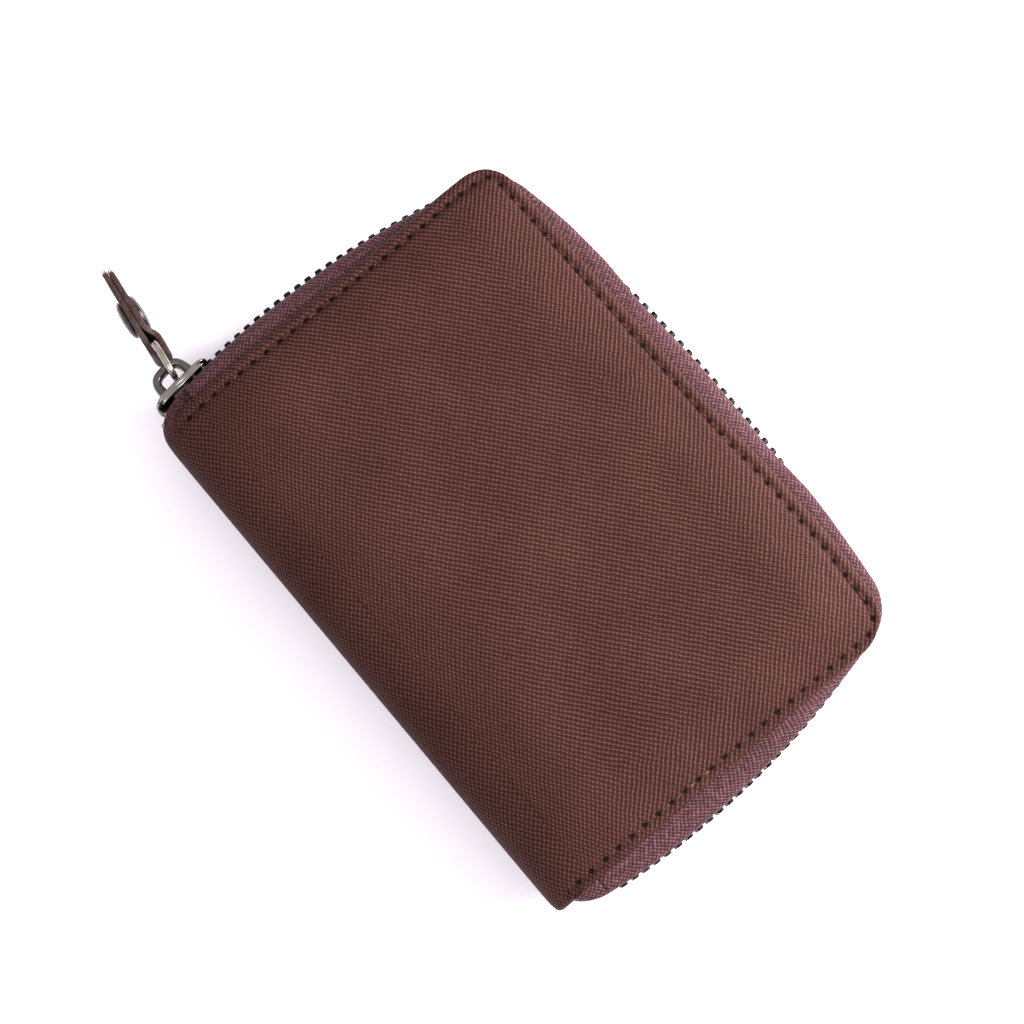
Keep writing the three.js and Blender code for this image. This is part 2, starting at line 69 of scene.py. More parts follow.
towards_camera = Vector(
    (
        math.sin(lean) * math.cos(lean_towards),
        math.sin(lean) * math.sin(lean_towards),
        math.cos(lean),
    )
)
camera_data = bpy.data.cameras.new("camera")
camera_data.lens = 84.4
camera_data.sensor_width = 36
camera = bpy.data.objects.new("camera", camera_data)
bpy.context.scene.collection.objects.link(camera)
up_hint = Vector((math.cos(top_of_view), math.sin(top_of_view), 0))
side_axis = up_hint.cross(towards_camera).normalized()
up_axis = towards_camera.cross(side_axis)
turn = Matrix((side_axis, up_axis, towards_camera)).transposed()
camera.matrix_world = Matrix.Translation(look_at + camera_distance * towards_camera) @ turn.to_4x4()
bpy.context.scene.camera = camera


# ---- Floor and light ----
# A pale matt table top 2.4 m wide, lit by a white room, with a soft box low on the opening's side and
# a larger, weaker one high over the spine.
def linear(hex_colour):
    """An sRGB hex colour as the linear numbers that shaders take."""
    shares = [int(hex_colour[i : i + 2], 16) / 255 for i in (1, 3, 5)]
    bent = [s / 12.92 if s <= 0.04045 else ((s + 0.055) / 1.055) ** 2.4 for s in shares]
    return (*bent, 1.0)


def new_material(name, **surface):
    """A material with its Principled shader; surface gives that shader's own plain values."""
    made = bpy.data.materials.new(name)
    made.use_nodes = True
    shader = made.node_tree.nodes["Principled BSDF"]
    for socket, value in surface.items():
        shader.inputs[socket.replace("_", " ").title().replace("Ior", "IOR")].default_value = value
    return made, made.node_tree, shader


def add_node(tree, kind, *values, out=0, stops=(), **named):
    """Adds a node and returns one of its outputs. Values feed its inputs in order, each a plain value or
    the socket that feeds it. A named value feeds the input of that name, or else is a setting. Stops are
    pairs of place and hex colour for a colour ramp."""
    made = tree.nodes.new("ShaderNode" + kind)
    fed = list(enumerate(values))
    for name, value in named.items():
        if name.replace("_", " ") in made.inputs:
            fed.append((name.replace("_", " "), value))
        else:
            setattr(made, name, value)
    for name, value in fed:
        if isinstance(value, bpy.types.NodeSocket):
            tree.links.new(value, made.inputs[name])
        else:
            made.inputs[name].default_value = value
    for i, (place, hex_colour) in enumerate(stops):
        elements = made.color_ramp.elements
        stop = elements[i] if i < 2 else elements.new(place)
        stop.position = place
        stop.color = linear(hex_colour)
    return made.outputs[out]


def mottled_finish(name, texture, stops, out=0, on="Generated", grain=None, **surface):
    """A dull finish whose colour varies with one fine texture. Grain holds that texture's settings."""
    made, tree, shader = new_material(name, **surface)
    place = add_node(tree, "TexCoord", out=on)
    mottle = add_node(tree, texture, place, out=out, **grain)
    colour = add_node(tree, "ValToRGB", mottle, stops=stops)
    tree.links.new(colour, shader.inputs["Base Color"])
    return made


table_half = 1.2
floor_mesh = bpy.data.meshes.new("table_top")
floor_corners = [(-1, -1), (1, -1), (1, 1), (-1, 1)]
floor_points = [(x * table_half, y * table_half, 0) for x, y in floor_corners]
floor_mesh.from_pydata(floor_points, [], [(0, 1, 2, 3)])
table_top = bpy.data.objects.new("table_top", floor_mesh)
bpy.context.scene.collection.objects.link(table_top)
# Uncoated white board: dull, with a faint cool cast and almost no mottle.
paper_stops = [(0.3, "#f7f0f9"), (0.7, "#f9f3fb")]
paper_grain = {"Scale": 40.0, "Detail": 2.0}
paper = mottled_finish("matt_white_board", "TexNoise", paper_stops, grain=paper_grain, roughness=0.9)
floor_mesh.materials.append(paper)

world = bpy.data.worlds.new("white_room")
world.use_nodes = True
room = world.node_tree
room_height = add_node(room, "SeparateXYZ", add_node(room, "TexCoord"), out="Z")
room_light = add_node(room, "ValToRGB", room_height, stops=[(0.0, "#7f7d84"), (0.7, "#ffffff")])
room.links.new(room_light, room.nodes["Background"].inputs["Color"])
room.nodes["Background"].inputs["Strength"].default_value = 1.08
bpy.context.scene.world = world
bpy.context.scene.view_settings.view_transform = "Standard"


def soft_box(name, azimuth, elevation, distance, size, watts):
    """A square lamp aimed at the wallet; azimuth runs from the X axis towards the Y axis."""
    lamp = bpy.data.lights.new(name, "AREA")
    lamp.size = size
    lamp.energy = watts
    stand = bpy.data.objects.new(name, lamp)
    flat = math.cos(math.radians(elevation))
    direction = Vector(
        (
            flat * math.cos(math.radians(azimuth)),
            flat * math.sin(math.radians(azimuth)),
            math.sin(math.radians(elevation)),
        )
    )
    stand.location = direction * distance
    stand.rotation_euler = direction.to_track_quat("Z", "Y").to_euler()
    bpy.context.scene.collection.objects.link(stand)


soft_box("window_box", -24, 28, 0.55, 0.42, 12.4)
soft_box("top_box", 205, 62, 0.9, 0.7, 3.6)


# ---- Front and back covers ----
# Each cover is one panel of coarse plain-woven polyester cloth over foam, its three hems turned under
# and sewn down. The edges draw in between the corners and the line of stitches sinks in a groove.
def box_mm(node):
    """A frame node's lowest and highest corners in mm."""
    low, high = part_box(node)
    return np.array(low) / mm, np.array(high) / mm


hem_x, hem_y, crown_z = box_mm("front_cover")[1]
spine_x = box_mm("spine_cover")[0][0]
joint_at = {j["name"]: np.array(j["pos_m"]) / mm for j in frame["joints"]}
fold_x = joint_at["spine_fold"][0]
mid_z = crown_z / 2
hem_inset = 0.5  # the cloth's edge lies just inside the solid's
top_of_hem = 20.0
base_of_hem = 3.0
crown_run = 15.0  # from a hem to the flat of the crown
base_run = 9.0
pad_power = 2.2  # how soon the padding is full
spine_centre = -17.0  # where the cover begins to roll over into the spine
spine_reach = spine_centre - spine_x
top_power, base_power = 2.6, 4.0  # of the rolled section: 2 is an ellipse, more is squarer
head_corner, tail_corner = 7.8, 9.6  # radii of the two corners on the opening
corner_zone = 16.0  # the grid's square corner, inside which it turns round
roll_radius = 0.75  # of the folded edge of the hem
turned_under = 3.2
fold_edge_ring = -0.2  # beyond this the cloth has turned under, where no stitch shows
seam_inset = 2.8  # from the edge to the stitches
tail_seam_inset = 1.9
head_seam_corner, tail_seam_corner = 2.6, 5.0
seam_past_fold = 5.65  # the seam runs this far on to the spine
stitch_pitch = 3.15
draw_reach = 9.0  # how far in from an edge its pull is felt


def smooth(t):
    """From 0 to 1 with a soft start and end."""
    t = np.clip(t, 0, 1)
    return t * t * (3 - 2 * t)


def hem_roll(d):
    """Where cloth at a distance d from the hem's fold lies: how far in, and how far down the fold."""
    angle = np.clip((roll_radius - d) / roll_radius, 0, math.pi)
    under = np.maximum(0, -d - (math.pi - 1) * roll_radius)
    inset = np.where(d >= roll_radius, d, roll_radius * (1 - np.sin(angle)) + under)
    return inset, roll_radius * (1 - np.cos(angle))


def round_corner(dx, dy, corner_radius):
    """Turns the square corners of a grid into round ones. dx and dy are distances from the hems.
    Returns the new distances, the distance from the fold, the drop round it and the way outwards."""
    nearer, farther = np.minimum(dx, dy), np.maximum(dx, dy)
    inset, drop = hem_roll(nearer)
    radius = np.maximum(1.0, corner_radius - 1.1 * inset)
    arc = math.pi / 4 * radius
    half = corner_zone - inset - radius + arc
    along = (farther - nearer) / np.maximum(corner_zone - nearer, 1e-6) * half
    angle = math.pi / 4 - np.minimum(along / radius, math.pi / 4)
    past = np.maximum(along - arc, 0)
    near_side = inset + radius * (1 - np.cos(angle))
    far_side = inset + radius * (1 - np.sin(angle)) + past
    plain = farther >= corner_zone
    near_side = np.where(plain, inset, near_side)
    far_side = np.where(plain, farther, far_side)
    turned = np.where(plain, 0, angle)
    x_nearer = dx < dy
    out_x = np.where(x_nearer, np.cos(turned), np.sin(turned))
    out_y = np.where(x_nearer, np.sin(turned), np.cos(turned))
    inset_x = np.where(x_nearer, near_side, far_side)
    inset_y = np.where(x_nearer, far_side, near_side)
    return inset_x, inset_y, nearer, drop, out_x, out_y


def pad_share(inset, run):
    """How far the padding has risen at a distance from a hem."""
    return 1 - (1 - np.clip(inset / run, 0, 1)) ** pad_power


def roll_share(x, power):
    """The height of the rolled section at x as a share of half the thickness, and its slope."""
    reach = np.clip((spine_centre - x) / spine_reach, 0, 0.98)
    share = (1 - reach**power) ** (1 / power)
    slope = reach ** (power - 1) * (1 - reach**power) ** (1 / power - 1) / spine_reach
    return share, slope


def half_height(inset_x, inset_y, side):
    """Half thickness above (side 1) or below (side -1) the middle plane, at distances from the hems."""
    hem = top_of_hem - mid_z if side > 0 else mid_z - base_of_hem
    run = crown_run if side > 0 else base_run
    return hem + (mid_z - hem) * pad_share(inset_x, run) * pad_share(inset_y, run)


def drawn_in(x, y, inset_x, inset_y):
    """The edges pulled in by the seam between the corners, most of all at the head of the spine."""
    along_head = 0.42 + 0.95 * smooth((fold_x - 1 - x) / 6)
    on_side = np.where(y > 0, along_head, 0.15) * smooth((hem_x - 12 - x) / 14)
    on_side = on_side * np.exp(-np.maximum(inset_y, 0) / draw_reach)
    on_front = 0.55 * smooth((hem_y - 5 - np.abs(y)) / 15) * (1 - 1.2 * smooth((-y - 5) / 20))
    on_front = on_front + 0.5 * smooth((y - 42) / 10) + 0.95 * smooth((-y - 36) / 16)
    on_front = on_front * np.exp(-np.maximum(inset_x, 0) / draw_reach)
    return x - on_front, y - np.sign(y) * on_side


def soft_waves(x, y):
    """The slight unevenness of cloth over foam, in mm."""
    return (
        0.11 * np.sin(0.13 * x + 0.9) * np.sin(0.09 * y + 0.4)
        + 0.07 * np.sin(0.21 * x - 0.17 * y + 2.1)
        + 0.04 * np.sin(0.37 * x + 0.29 * y)
    )


def seam_path():
    """Points along the seam, from the head of the spine round the three hems to its tail."""
    edge_x, edge_y = hem_x - hem_inset, hem_y - hem_inset
    front, head, tail = edge_x - seam_inset, edge_y - seam_inset, tail_seam_inset - edge_y
    start = fold_x - seam_past_fold
    turns = np.radians(np.linspace(90, 0, 16))
    head_turn, tail_turn = head_seam_corner, tail_seam_corner
    line = [(x, head) for x in np.linspace(start, front - head_turn, 200)[:-1]]
    for a in turns:
        line.append((front - head_turn * (1 - math.cos(a)), head - head_turn * (1 - math.sin(a))))
    line += [(front, y) for y in np.linspace(head - head_turn, tail + tail_turn, 300)[1:-1]]
    for a in turns:
        line.append((front - tail_turn * (1 - math.sin(a)), tail + tail_turn * (1 - math.cos(a))))
    line += [(x, tail) for x in np.linspace(front - tail_turn, start, 200)[1:]]
    points = np.array(line)
    x, y = points.T
    return np.stack(drawn_in(x, y, edge_x - x, edge_y - np.abs(y)), 1)


def lengths_along(path):
    """How far along a path each of its points lies."""
    steps = np.linalg.norm(np.diff(path, axis=0), axis=1)
    return np.concatenate([[0], np.cumsum(steps)])


def spaced(points, pitch):
    """Points at an even pitch along a path, with the direction of the path at each."""
    lengths = lengths_along(points)
    count = int(round(lengths[-1] / pitch))
    at = np.linspace(0, lengths[-1], count + 1)
    even = np.stack([np.interp(at, lengths, points[:, k]) for k in range(points.shape[1])], 1)
    ahead = np.stack([np.interp(at + 0.2, lengths, points[:, k]) for k in range(points.shape[1])], 1)
    behind = np.stack([np.interp(at - 0.2, lengths, points[:, k]) for k in range(points.shape[1])], 1)
    direction = ahead - behind
    return even, direction / np.linalg.norm(direction, axis=1)[:, None]


needle_holes, hole_directions = spaced(seam_path(), stitch_pitch)
hole_long, hole_wide = 0.5, 0.4
hole_depth = 0.5
hole_area = 2.0  # past this a hole isn't felt


def pierced(x, y):
    """From 0 to 1, how deep in a needle hole each point lies."""
    depth = np.zeros_like(x)
    for (hx, hy), (tx, ty) in zip(needle_holes, hole_directions):
        near = (np.abs(x - hx) < hole_area) & (np.abs(y - hy) < hole_area)
        rx, ry = x[near] - hx, y[near] - hy
        along, across = rx * tx + ry * ty, ry * tx - rx * ty
        depth[near] += np.exp(-((along / hole_long) ** 2) - (across / hole_wide) ** 2)
    return np.clip(depth, 0, 1)


seam_line, seam_ways = spaced(seam_path(), 0.15)
seam_band = 8.5  # the strip inside each hem that feels the seam
far_off = -9.0


def seam_place(x, y):
    """How many stitches along the seam each point lies, and how far outside the seam it is."""
    stitch, outside = np.zeros(x.size), np.full(x.size, far_off)
    flat = np.stack([x.ravel(), y.ravel()], 1)
    inner_x, inner_y = hem_x - seam_band, hem_y - seam_band
    band = np.flatnonzero((flat[:, 0] > inner_x) | (np.abs(flat[:, 1]) > inner_y))
    for part in np.array_split(band, max(1, len(band) // 2000)):
        steps = flat[part][:, None] - seam_line[None]
        nearest = (steps**2).sum(2).argmin(1)
        step, way = steps[np.arange(len(part)), nearest], seam_ways[nearest]
        past_end = (nearest == 0) | (nearest == len(seam_line) - 1)
        stitch[part] = nearest / (len(seam_line) - 1) * (len(needle_holes) - 1)
        stitch[part] += (step * way).sum(1) / stitch_pitch
        outside[part] = np.where(past_end, far_off, step[:, 1] * way[:, 0] - step[:, 0] * way[:, 1])
    return stitch.reshape(x.shape), outside.reshape(x.shape)


def seam_relief(x, y):
    """How far the seam presses the cloth in, or lets it puff out, and the place on the seam."""
    stitch, outside = seam_place(x, y)
    groove = 0.42 * np.exp(-((outside / 0.75) ** 2))
    puff = 0.34 * np.exp(-(((outside - 1.5) / 0.85) ** 2))
    ripple = 0.08 * np.exp(-(((outside - 1.2) / 1.1) ** 2)) * np.cos(2 * math.pi * stitch)
    inner = 0.1 * np.exp(-(((outside + 1.6) / 0.9) ** 2))
    press = groove - puff - inner - ripple + hole_depth * pierced(x, y)
    return press, np.stack([stitch, outside, np.zeros_like(stitch)], -1)


def grid_faces(rows, columns):
    """The four-sided faces of a grid of points."""
    corner = (np.arange(rows - 1)[:, None] * columns + np.arange(columns - 1)[None, :]).ravel()
    return np.stack([corner, corner + 1, corner + columns + 1, corner + columns], 1)


def mesh_piece(name, points, faces, finish, **marks):
    """An object from points in mm and faces. Marks are numbers or vectors kept on each point."""
    mesh = bpy.data.meshes.new(name)
    mesh.from_pydata((np.asarray(points) * mm).tolist(), [], [list(map(int, f)) for f in faces])
    for mark, values in marks.items():
        values = np.asarray(values, np.float32)
        kind = "FLOAT" if values.ndim == 1 else "FLOAT_VECTOR"
        stored = mesh.attributes.new(mark, kind, "POINT")
        stored.data.foreach_set("value" if values.ndim == 1 else "vector", values.ravel())
    mesh.polygons.foreach_set("use_smooth", [True] * len(mesh.polygons))
    made = bpy.data.objects.new(name, mesh)
    bpy.context.scene.collection.objects.link(made)
    mesh.materials.append(finish)
    return made


def closed_piece(name, skin, finish, **marks):
    """A closed object from a skin of points and faces, with every face turned outwards."""
    made = mesh_piece(name, *skin, finish, **marks)
    work = bmesh.new()
    work.from_mesh(made.data)
    bmesh.ops.recalc_face_normals(work, faces=work.faces)
    work.to_mesh(made.data)
    work.free()
    return made


fine_zone, fine_step = 6, 0.4  # the grid is finer near a hem


def lines_from_hem(far, step):
    """Distances from a hem, from the turned-under edge to a far line."""
    start = -(math.pi - 1) * roll_radius - turned_under
    fine = np.arange(start, fine_zone, min(step, fine_step))
    coarse = np.linspace(fine_zone, far, int((far - fine_zone) / step) + 1)
    return np.concatenate([fine, coarse])


def lines_across(far, step):
    """The same from both sides to the middle, with the sign of the side that each line is on."""
    from_side = lines_from_hem(far, step)
    from_sides = np.concatenate([from_side, from_side[-2::-1]])
    signs = np.ones(len(from_sides))
    signs[: len(from_side)] = -1
    return from_sides, signs


grain_pull = 0.06
spine_shrink = 0.012


def off_grain(x, y):
    """A place on the panel as a place on the cloth, which is pulled a little out of square."""
    pulled = grain_pull * (x - y)
    return x + pulled, y + pulled


def cover_cloth(name, side, step):
    """One cover's cloth from the fold of the spine to its three hems, which roll over and under."""
    edge_x, edge_y = hem_x - hem_inset, hem_y - hem_inset
    from_front = lines_from_hem(edge_x - fold_x, step)
    from_sides, signs = lines_across(edge_y, step)
    dy, dx = np.meshgrid(from_sides, from_front, indexing="ij")
    sign = np.broadcast_to(signs[:, None], dy.shape)
    corner = np.where(sign > 0, head_corner, tail_corner)
    inset_x, inset_y, ring, drop, out_x, out_y = round_corner(dx, dy, corner)
    x, y = edge_x - inset_x, sign * (edge_y - inset_y)
    round_fold = np.maximum(0, hem_roll(ring)[0] - ring)
    flat_x, flat_y = x + round_fold * out_x, y + sign * round_fold * out_y
    share, slope = roll_share(x, top_power if side > 0 else base_power)
    half = half_height(inset_x, inset_y, side)
    x, y = drawn_in(x, y, inset_x, inset_y)
    press, seam = seam_relief(x, y)
    outer = ring > fold_edge_ring
    press = press * outer
    seam[..., 1] = np.where(outer, seam[..., 1], far_off)
    waves = soft_waves(x, y) * (side > 0) * smooth(ring / 8)
    sink = press + drop
    lean_x = -slope * half * side
    length = np.hypot(lean_x, 1)
    x = x - sink * lean_x / length
    z = mid_z + side * (share * half + waves - sink / length)
    rolled = np.maximum(spine_centre - (edge_x - dx), 0)
    cloth_x = flat_x - spine_shrink * rolled**2
    # Painted light: near the front hem and the tail the slopes face the lamp, so there the floats'
    # painted highlight leans along the other diagonal.
    facing = smooth((17 - dx) / 8)
    tail_facing = smooth((15 - dy) / 8) * (sign < 0)
    near_spine = smooth((x - fold_x - 4) / 12)
    painted_highlight_lean = near_spine * (-0.34 + 0.8 * np.maximum(facing, tail_facing))
    cloth_xy = np.stack([*off_grain(cloth_x, flat_y), painted_highlight_lean], -1)
    points = np.stack([x, y, z], -1).reshape(-1, 3)
    faces = grid_faces(*x.shape)
    if side < 0:
        faces = faces[:, ::-1]
    marks = {"cloth": cloth_xy.reshape(-1, 3), "seam": seam.reshape(-1, 3)}
    return mesh_piece(name, points, faces, cover_weave, **marks)


def weave(tree, pitch, lean=None):
    """Plain weave as a number from -1, in the middle of a weft float, to 1, in the middle of a warp
    float. The cloth attribute holds the place on the flat cloth in mm, and how the floats lean, which on
    the covers is the lean of their painted highlight."""
    place = add_node(tree, "Attribute", attribute_name="cloth", out="Vector")
    drift = add_node(tree, "TexNoise", place, Scale=0.35, Detail=2.0, out="Color")
    off = add_node(tree, "VectorMath", drift, (0.5, 0.5, 0.5), operation="SUBTRACT")
    off = add_node(tree, "VectorMath", off, (0.55, 0.55, 0.0), operation="MULTIPLY")
    moved = add_node(tree, "VectorMath", place, off, operation="ADD")
    x = add_node(tree, "SeparateXYZ", moved)
    u = add_node(tree, "Math", x, math.pi / pitch, operation="MULTIPLY")
    v = add_node(tree, "Math", x.node.outputs[1], math.pi / pitch, operation="MULTIPLY")
    one_way = add_node(tree, "Math", u, v, operation="SUBTRACT")
    one_way = add_node(tree, "Math", one_way, operation="COSINE")
    other_way = add_node(tree, "Math", u, v, operation="ADD")
    other_way = add_node(tree, "Math", other_way, operation="COSINE")
    lean = lean or x.node.outputs[2]
    more = add_node(tree, "Math", 1.0, lean, operation="ADD")
    less = add_node(tree, "Math", 1.0, lean, operation="SUBTRACT")
    first = add_node(tree, "Math", one_way, more, operation="MULTIPLY")
    second = add_node(tree, "Math", other_way, less, operation="MULTIPLY")
    floats = add_node(tree, "Math", first, second, operation="SUBTRACT")
    return place, add_node(tree, "Math", floats, 0.5, operation="MULTIPLY")


def woven_finish(name, pitch, stops, relief, ribs=0.0, slubs=0.2, sewn=False, **surface):
    """A woven cloth: its yarns' colours from weft to warp float as painted shade and highlight, broad
    patches of shade, and relief.
    Ribs is the width in mm of herringbone stripes, where the floats lean one way and then the other.
    Sewn cloth has needle holes along its seam, each painted near black as painted shade inside the hole."""
    made, tree, shader = new_material(name, **surface)
    lean = None
    if ribs:
        flat = add_node(tree, "Attribute", attribute_name="cloth", out="Vector")
        across = add_node(tree, "SeparateXYZ", flat, out=1)
        wave = add_node(tree, "Math", across, math.pi / ribs, operation="MULTIPLY")
        wave = add_node(tree, "Math", wave, operation="SINE")
        lean = add_node(tree, "Math", wave, 0.3, operation="MULTIPLY")
    place, floats = weave(tree, pitch, lean)
    share = add_node(tree, "MapRange", floats, -1.0, 1.0, 0.0, 1.0)
    slub = add_node(tree, "TexNoise", place, Scale=1.1, Detail=3.0)
    uneven = add_node(tree, "MapRange", slub, 0.0, 1.0, -slubs, slubs)
    share = add_node(tree, "Math", share, uneven, operation="ADD")
    # The ramp paints the weft darker and the warp floats paler: painted shade between the floats and a
    # painted highlight on them.
    colour = add_node(tree, "ValToRGB", share, stops=stops)
    cloud = add_node(tree, "TexNoise", place, Scale=0.06, Detail=2.0)
    shade = add_node(tree, "ValToRGB", cloud, stops=[(0.3, "#e9e5e5"), (0.7, "#ffffff")])
    colour = add_node(tree, "MixRGB", 1.0, colour, shade, blend_type="MULTIPLY")
    warp = add_node(tree, "Math", floats, 0.0, operation="MAXIMUM")
    weft = add_node(tree, "Math", floats, -0.45, operation="MULTIPLY")
    height = add_node(tree, "Math", warp, weft, operation="MAXIMUM")
    if sewn:
        seam = add_node(tree, "Attribute", attribute_name="seam", out="Vector")
        stitch = add_node(tree, "SeparateXYZ", seam)
        along = add_node(tree, "Math", stitch, 0.5, operation="ADD")
        along = add_node(tree, "Math", along, operation="FRACT")
        along = add_node(tree, "Math", along, 0.5, operation="SUBTRACT")
        along = add_node(tree, "Math", along, stitch_pitch / 0.62, operation="MULTIPLY")
        across = add_node(tree, "Math", stitch.node.outputs[1], 1 / 0.46, operation="MULTIPLY")
        ragged = add_node(tree, "TexNoise", place, Scale=3.0, Detail=1.0, out="Color")
        ragged = add_node(tree, "VectorMath", ragged, (0.5, 0.5, 0.5), operation="SUBTRACT")
        oval = add_node(tree, "CombineXYZ", along, across)
        oval = add_node(tree, "VectorMath", oval, ragged, operation="ADD")
        oval = add_node(tree, "VectorMath", oval, operation="LENGTH", out="Value")
        hole = add_node(tree, "MapRange", oval, 0.7, 1.25, 0.97, 0.0, interpolation_type="SMOOTHSTEP")
        # Painted shade: each needle hole is painted near black where its inside lies in shade.
        colour = add_node(tree, "MixRGB", hole, colour, linear("#120908"))
        height = add_node(tree, "Math", height, hole, operation="SUBTRACT")
    tree.links.new(colour, shader.inputs["Base Color"])
    rough = add_node(tree, "MapRange", floats, -1.0, 1.0, 0.75, 0.5)
    tree.links.new(rough, shader.inputs["Roughness"])
    bump = add_node(tree, "Bump", Height=height, Distance=relief * mm, Strength=1.0)
    tree.links.new(bump, shader.inputs["Normal"])
    return made


# Polyester yarn in a coarse plain weave: matt brown weft, and warp floats that catch the light, painted
# paler as a painted highlight over weft painted darker as painted shade. The yarns of such a bag cloth
# lie about 0.6 mm apart.
yarn_pitch = 0.59
cover_weave = woven_finish(
    "coarse_brown_polyester_weave",
    yarn_pitch,
    [(0.0, "#2a1411"), (0.35, "#321916"), (0.6, "#3d2420"), (0.95, "#513632")],
    0.09,
    sewn=True,
    specular_ior_level=0.05,
)
for name, node, body, side, step, fill in (
    ("front_cover_cloth", "front_cover", "front_half", 1, 0.42, 0.5),
    ("back_cover_cloth", "back_cover", "back_half", -1, 0.8, 0.4),
):
    panel = cover_cloth(name, side, step)
    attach(panel, body)
    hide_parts(node)


# ---- Spine ----
# The same cloth runs on from cover to cover with no seam. It is soft here, and rolls over from one
# cover to the other as the wallet lies shut.
section_step = 0.5


def spine_section():
    """The spine's section from the front fold round to the back fold: x, height share, and side."""
    angles = np.linspace(0, math.pi / 2, 900)
    halves = []
    for power, side in ((top_power, 1), (base_power, -1)):
        x = spine_centre - spine_reach * np.cos(angles) ** (2 / power)
        halves.append(np.stack([x, side * np.sin(angles) ** (2 / power)], 1))
    line = np.concatenate([halves[0][::-1], halves[1][1:]])
    on_spine = line[line[:, 0] <= fold_x + 0.05]
    scaled = on_spine * (1, mid_z)
    even, direction = spaced(scaled, section_step)
    outward = np.stack([-direction[:, 1], direction[:, 0]], 1)
    outward *= -1 if outward[len(outward) // 2, 0] > 0 else 1
    return even, outward


def spine_cloth(name):
    """The cloth of the spine, from fold to fold along the section and from hem to hem along Y."""
    section, outward = spine_section()
    edge_y = hem_y - hem_inset
    from_sides, signs = lines_across(edge_y, 0.6)
    dy, column = np.meshgrid(from_sides, np.arange(len(section)), indexing="ij")
    sign = np.broadcast_to(signs[:, None], dy.shape)
    inset, drop = hem_roll(dy)
    x, z = section[column, 0], section[column, 1]
    top = half_height(np.full_like(inset, 99.0), inset, 1) / mid_z
    base = half_height(np.full_like(inset, 99.0), inset, -1) / mid_z
    z = z * np.where(z > 0, top, base)
    _, y = drawn_in(x, sign * (edge_y - inset), np.full_like(x, 99.0), inset)
    press, seam = seam_relief(x, y)
    outer = (dy > fold_edge_ring) * smooth((x - fold_x + 7.5) / 2)
    seam[..., 1] = np.where((dy > fold_edge_ring) & (np.abs(z) > 3.2), seam[..., 1], far_off)
    rounding = 0.55 * np.exp(-np.maximum(dy, 0) / 1.2) * smooth((fold_x - x) / 4)
    sink = press * outer + drop + rounding
    x = x - sink * outward[column, 0]
    z = z - sink * outward[column, 1]
    lengths = lengths_along(section)
    start = fold_x - spine_shrink * (spine_centre - fold_x) ** 2
    flat_xy = off_grain(start - lengths[column], sign * (edge_y - dy))
    cloth_xy = np.stack([*flat_xy, np.zeros(x.shape)], -1)
    points = np.stack([x, y, mid_z + z], -1).reshape(-1, 3)
    faces = grid_faces(*x.shape)
    marks = {"cloth": cloth_xy.reshape(-1, 3), "seam": seam.reshape(-1, 3)}
    return mesh_piece(name, points, faces, cover_weave, **marks)


spine = spine_cloth("spine_cloth")
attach(spine, "spine")
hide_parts("spine_cover")
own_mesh(spine)
spine_girth = len(spine_section()[0]) * section_step


# ---- Seam thread ----
# Brown polyester sewing thread in a lockstitch: each stitch lies in the groove and dives into the
# cloth at both ends.
def loft(rings):
    """A closed skin through equal rings of points, as points and faces."""
    rings = np.asarray(rings, float)
    count, sides = rings.shape[:2]
    start = (np.arange(count - 1)[:, None] * sides + np.arange(sides)[None, :]).ravel()
    ahead = (np.arange(count - 1)[:, None] * sides + (np.arange(sides)[None, :] + 1) % sides).ravel()
    faces = [tuple(f) for f in np.stack([start, ahead, ahead + sides, start + sides], 1)]
    faces.append(tuple(range(sides))[::-1])
    faces.append(tuple((count - 1) * sides + s for s in range(sides)))
    return rings.reshape(-1, 3), faces


def slopes_along(path):
    """The direction of a path at each of its points."""
    slopes = np.gradient(path, axis=0)
    return slopes / np.linalg.norm(slopes, axis=1)[:, None]


def tube(points, radius, sides=6):
    """A closed round tube along points in mm, as points and faces."""
    points = np.asarray(points, float)
    ahead = slopes_along(points)
    hint = np.eye(3)[np.argmin(np.abs(ahead).max(0))]
    right = np.cross(ahead, hint)
    right /= np.linalg.norm(right, axis=1)[:, None]
    above = np.cross(right, ahead)
    angles = np.arange(sides) * 2 * math.pi / sides
    level, upright = np.cos(angles)[None, :, None], np.sin(angles)[None, :, None]
    across = level * right[:, None] + upright * above[:, None]
    reach = np.broadcast_to(np.asarray(radius, float), len(points))
    return loft(points[:, None] + reach[:, None, None] * across)


def joined(parts):
    """Several (points, faces) as one."""
    points, faces, start = [], [], 0
    for part_points, part_faces in parts:
        points.append(part_points)
        faces += [tuple(i + start for i in f) for f in part_faces]
        start += len(part_points)
    return np.concatenate(points), faces


thread_radius = 0.17
thread_sunk = 0.52  # the middle of a stitch below the plain surface
thread_dive = 0.3


def surface_height(x, y, side):
    """The height of a cover's plain surface, before its seam and its waves."""
    inset_x, inset_y = hem_x - hem_inset - x, hem_y - hem_inset - abs(y)
    share, _ = roll_share(np.array(x), top_power if side > 0 else base_power)
    half = half_height(np.array(inset_x), np.array(inset_y), side)
    return mid_z + side * float(share * half)


def seam_thread(name, side):
    """The stitches of one cover, each a short tube between two needle holes."""
    parts = []
    for i in range(len(needle_holes) - 1):
        a, b = needle_holes[i], needle_holes[i + 1]
        if min(a[0], b[0]) < fold_x + 0.3:
            continue
        route = []
        for t in np.linspace(0.2, 0.8, 7):
            x, y = a + (b - a) * t
            sunk = thread_sunk + thread_dive * abs(2 * t - 1) ** 3
            route.append((x, y, surface_height(x, y, side) - side * sunk))
        parts.append(tube(route, thread_radius))
    return closed_piece(name, joined(parts), sewing_thread)


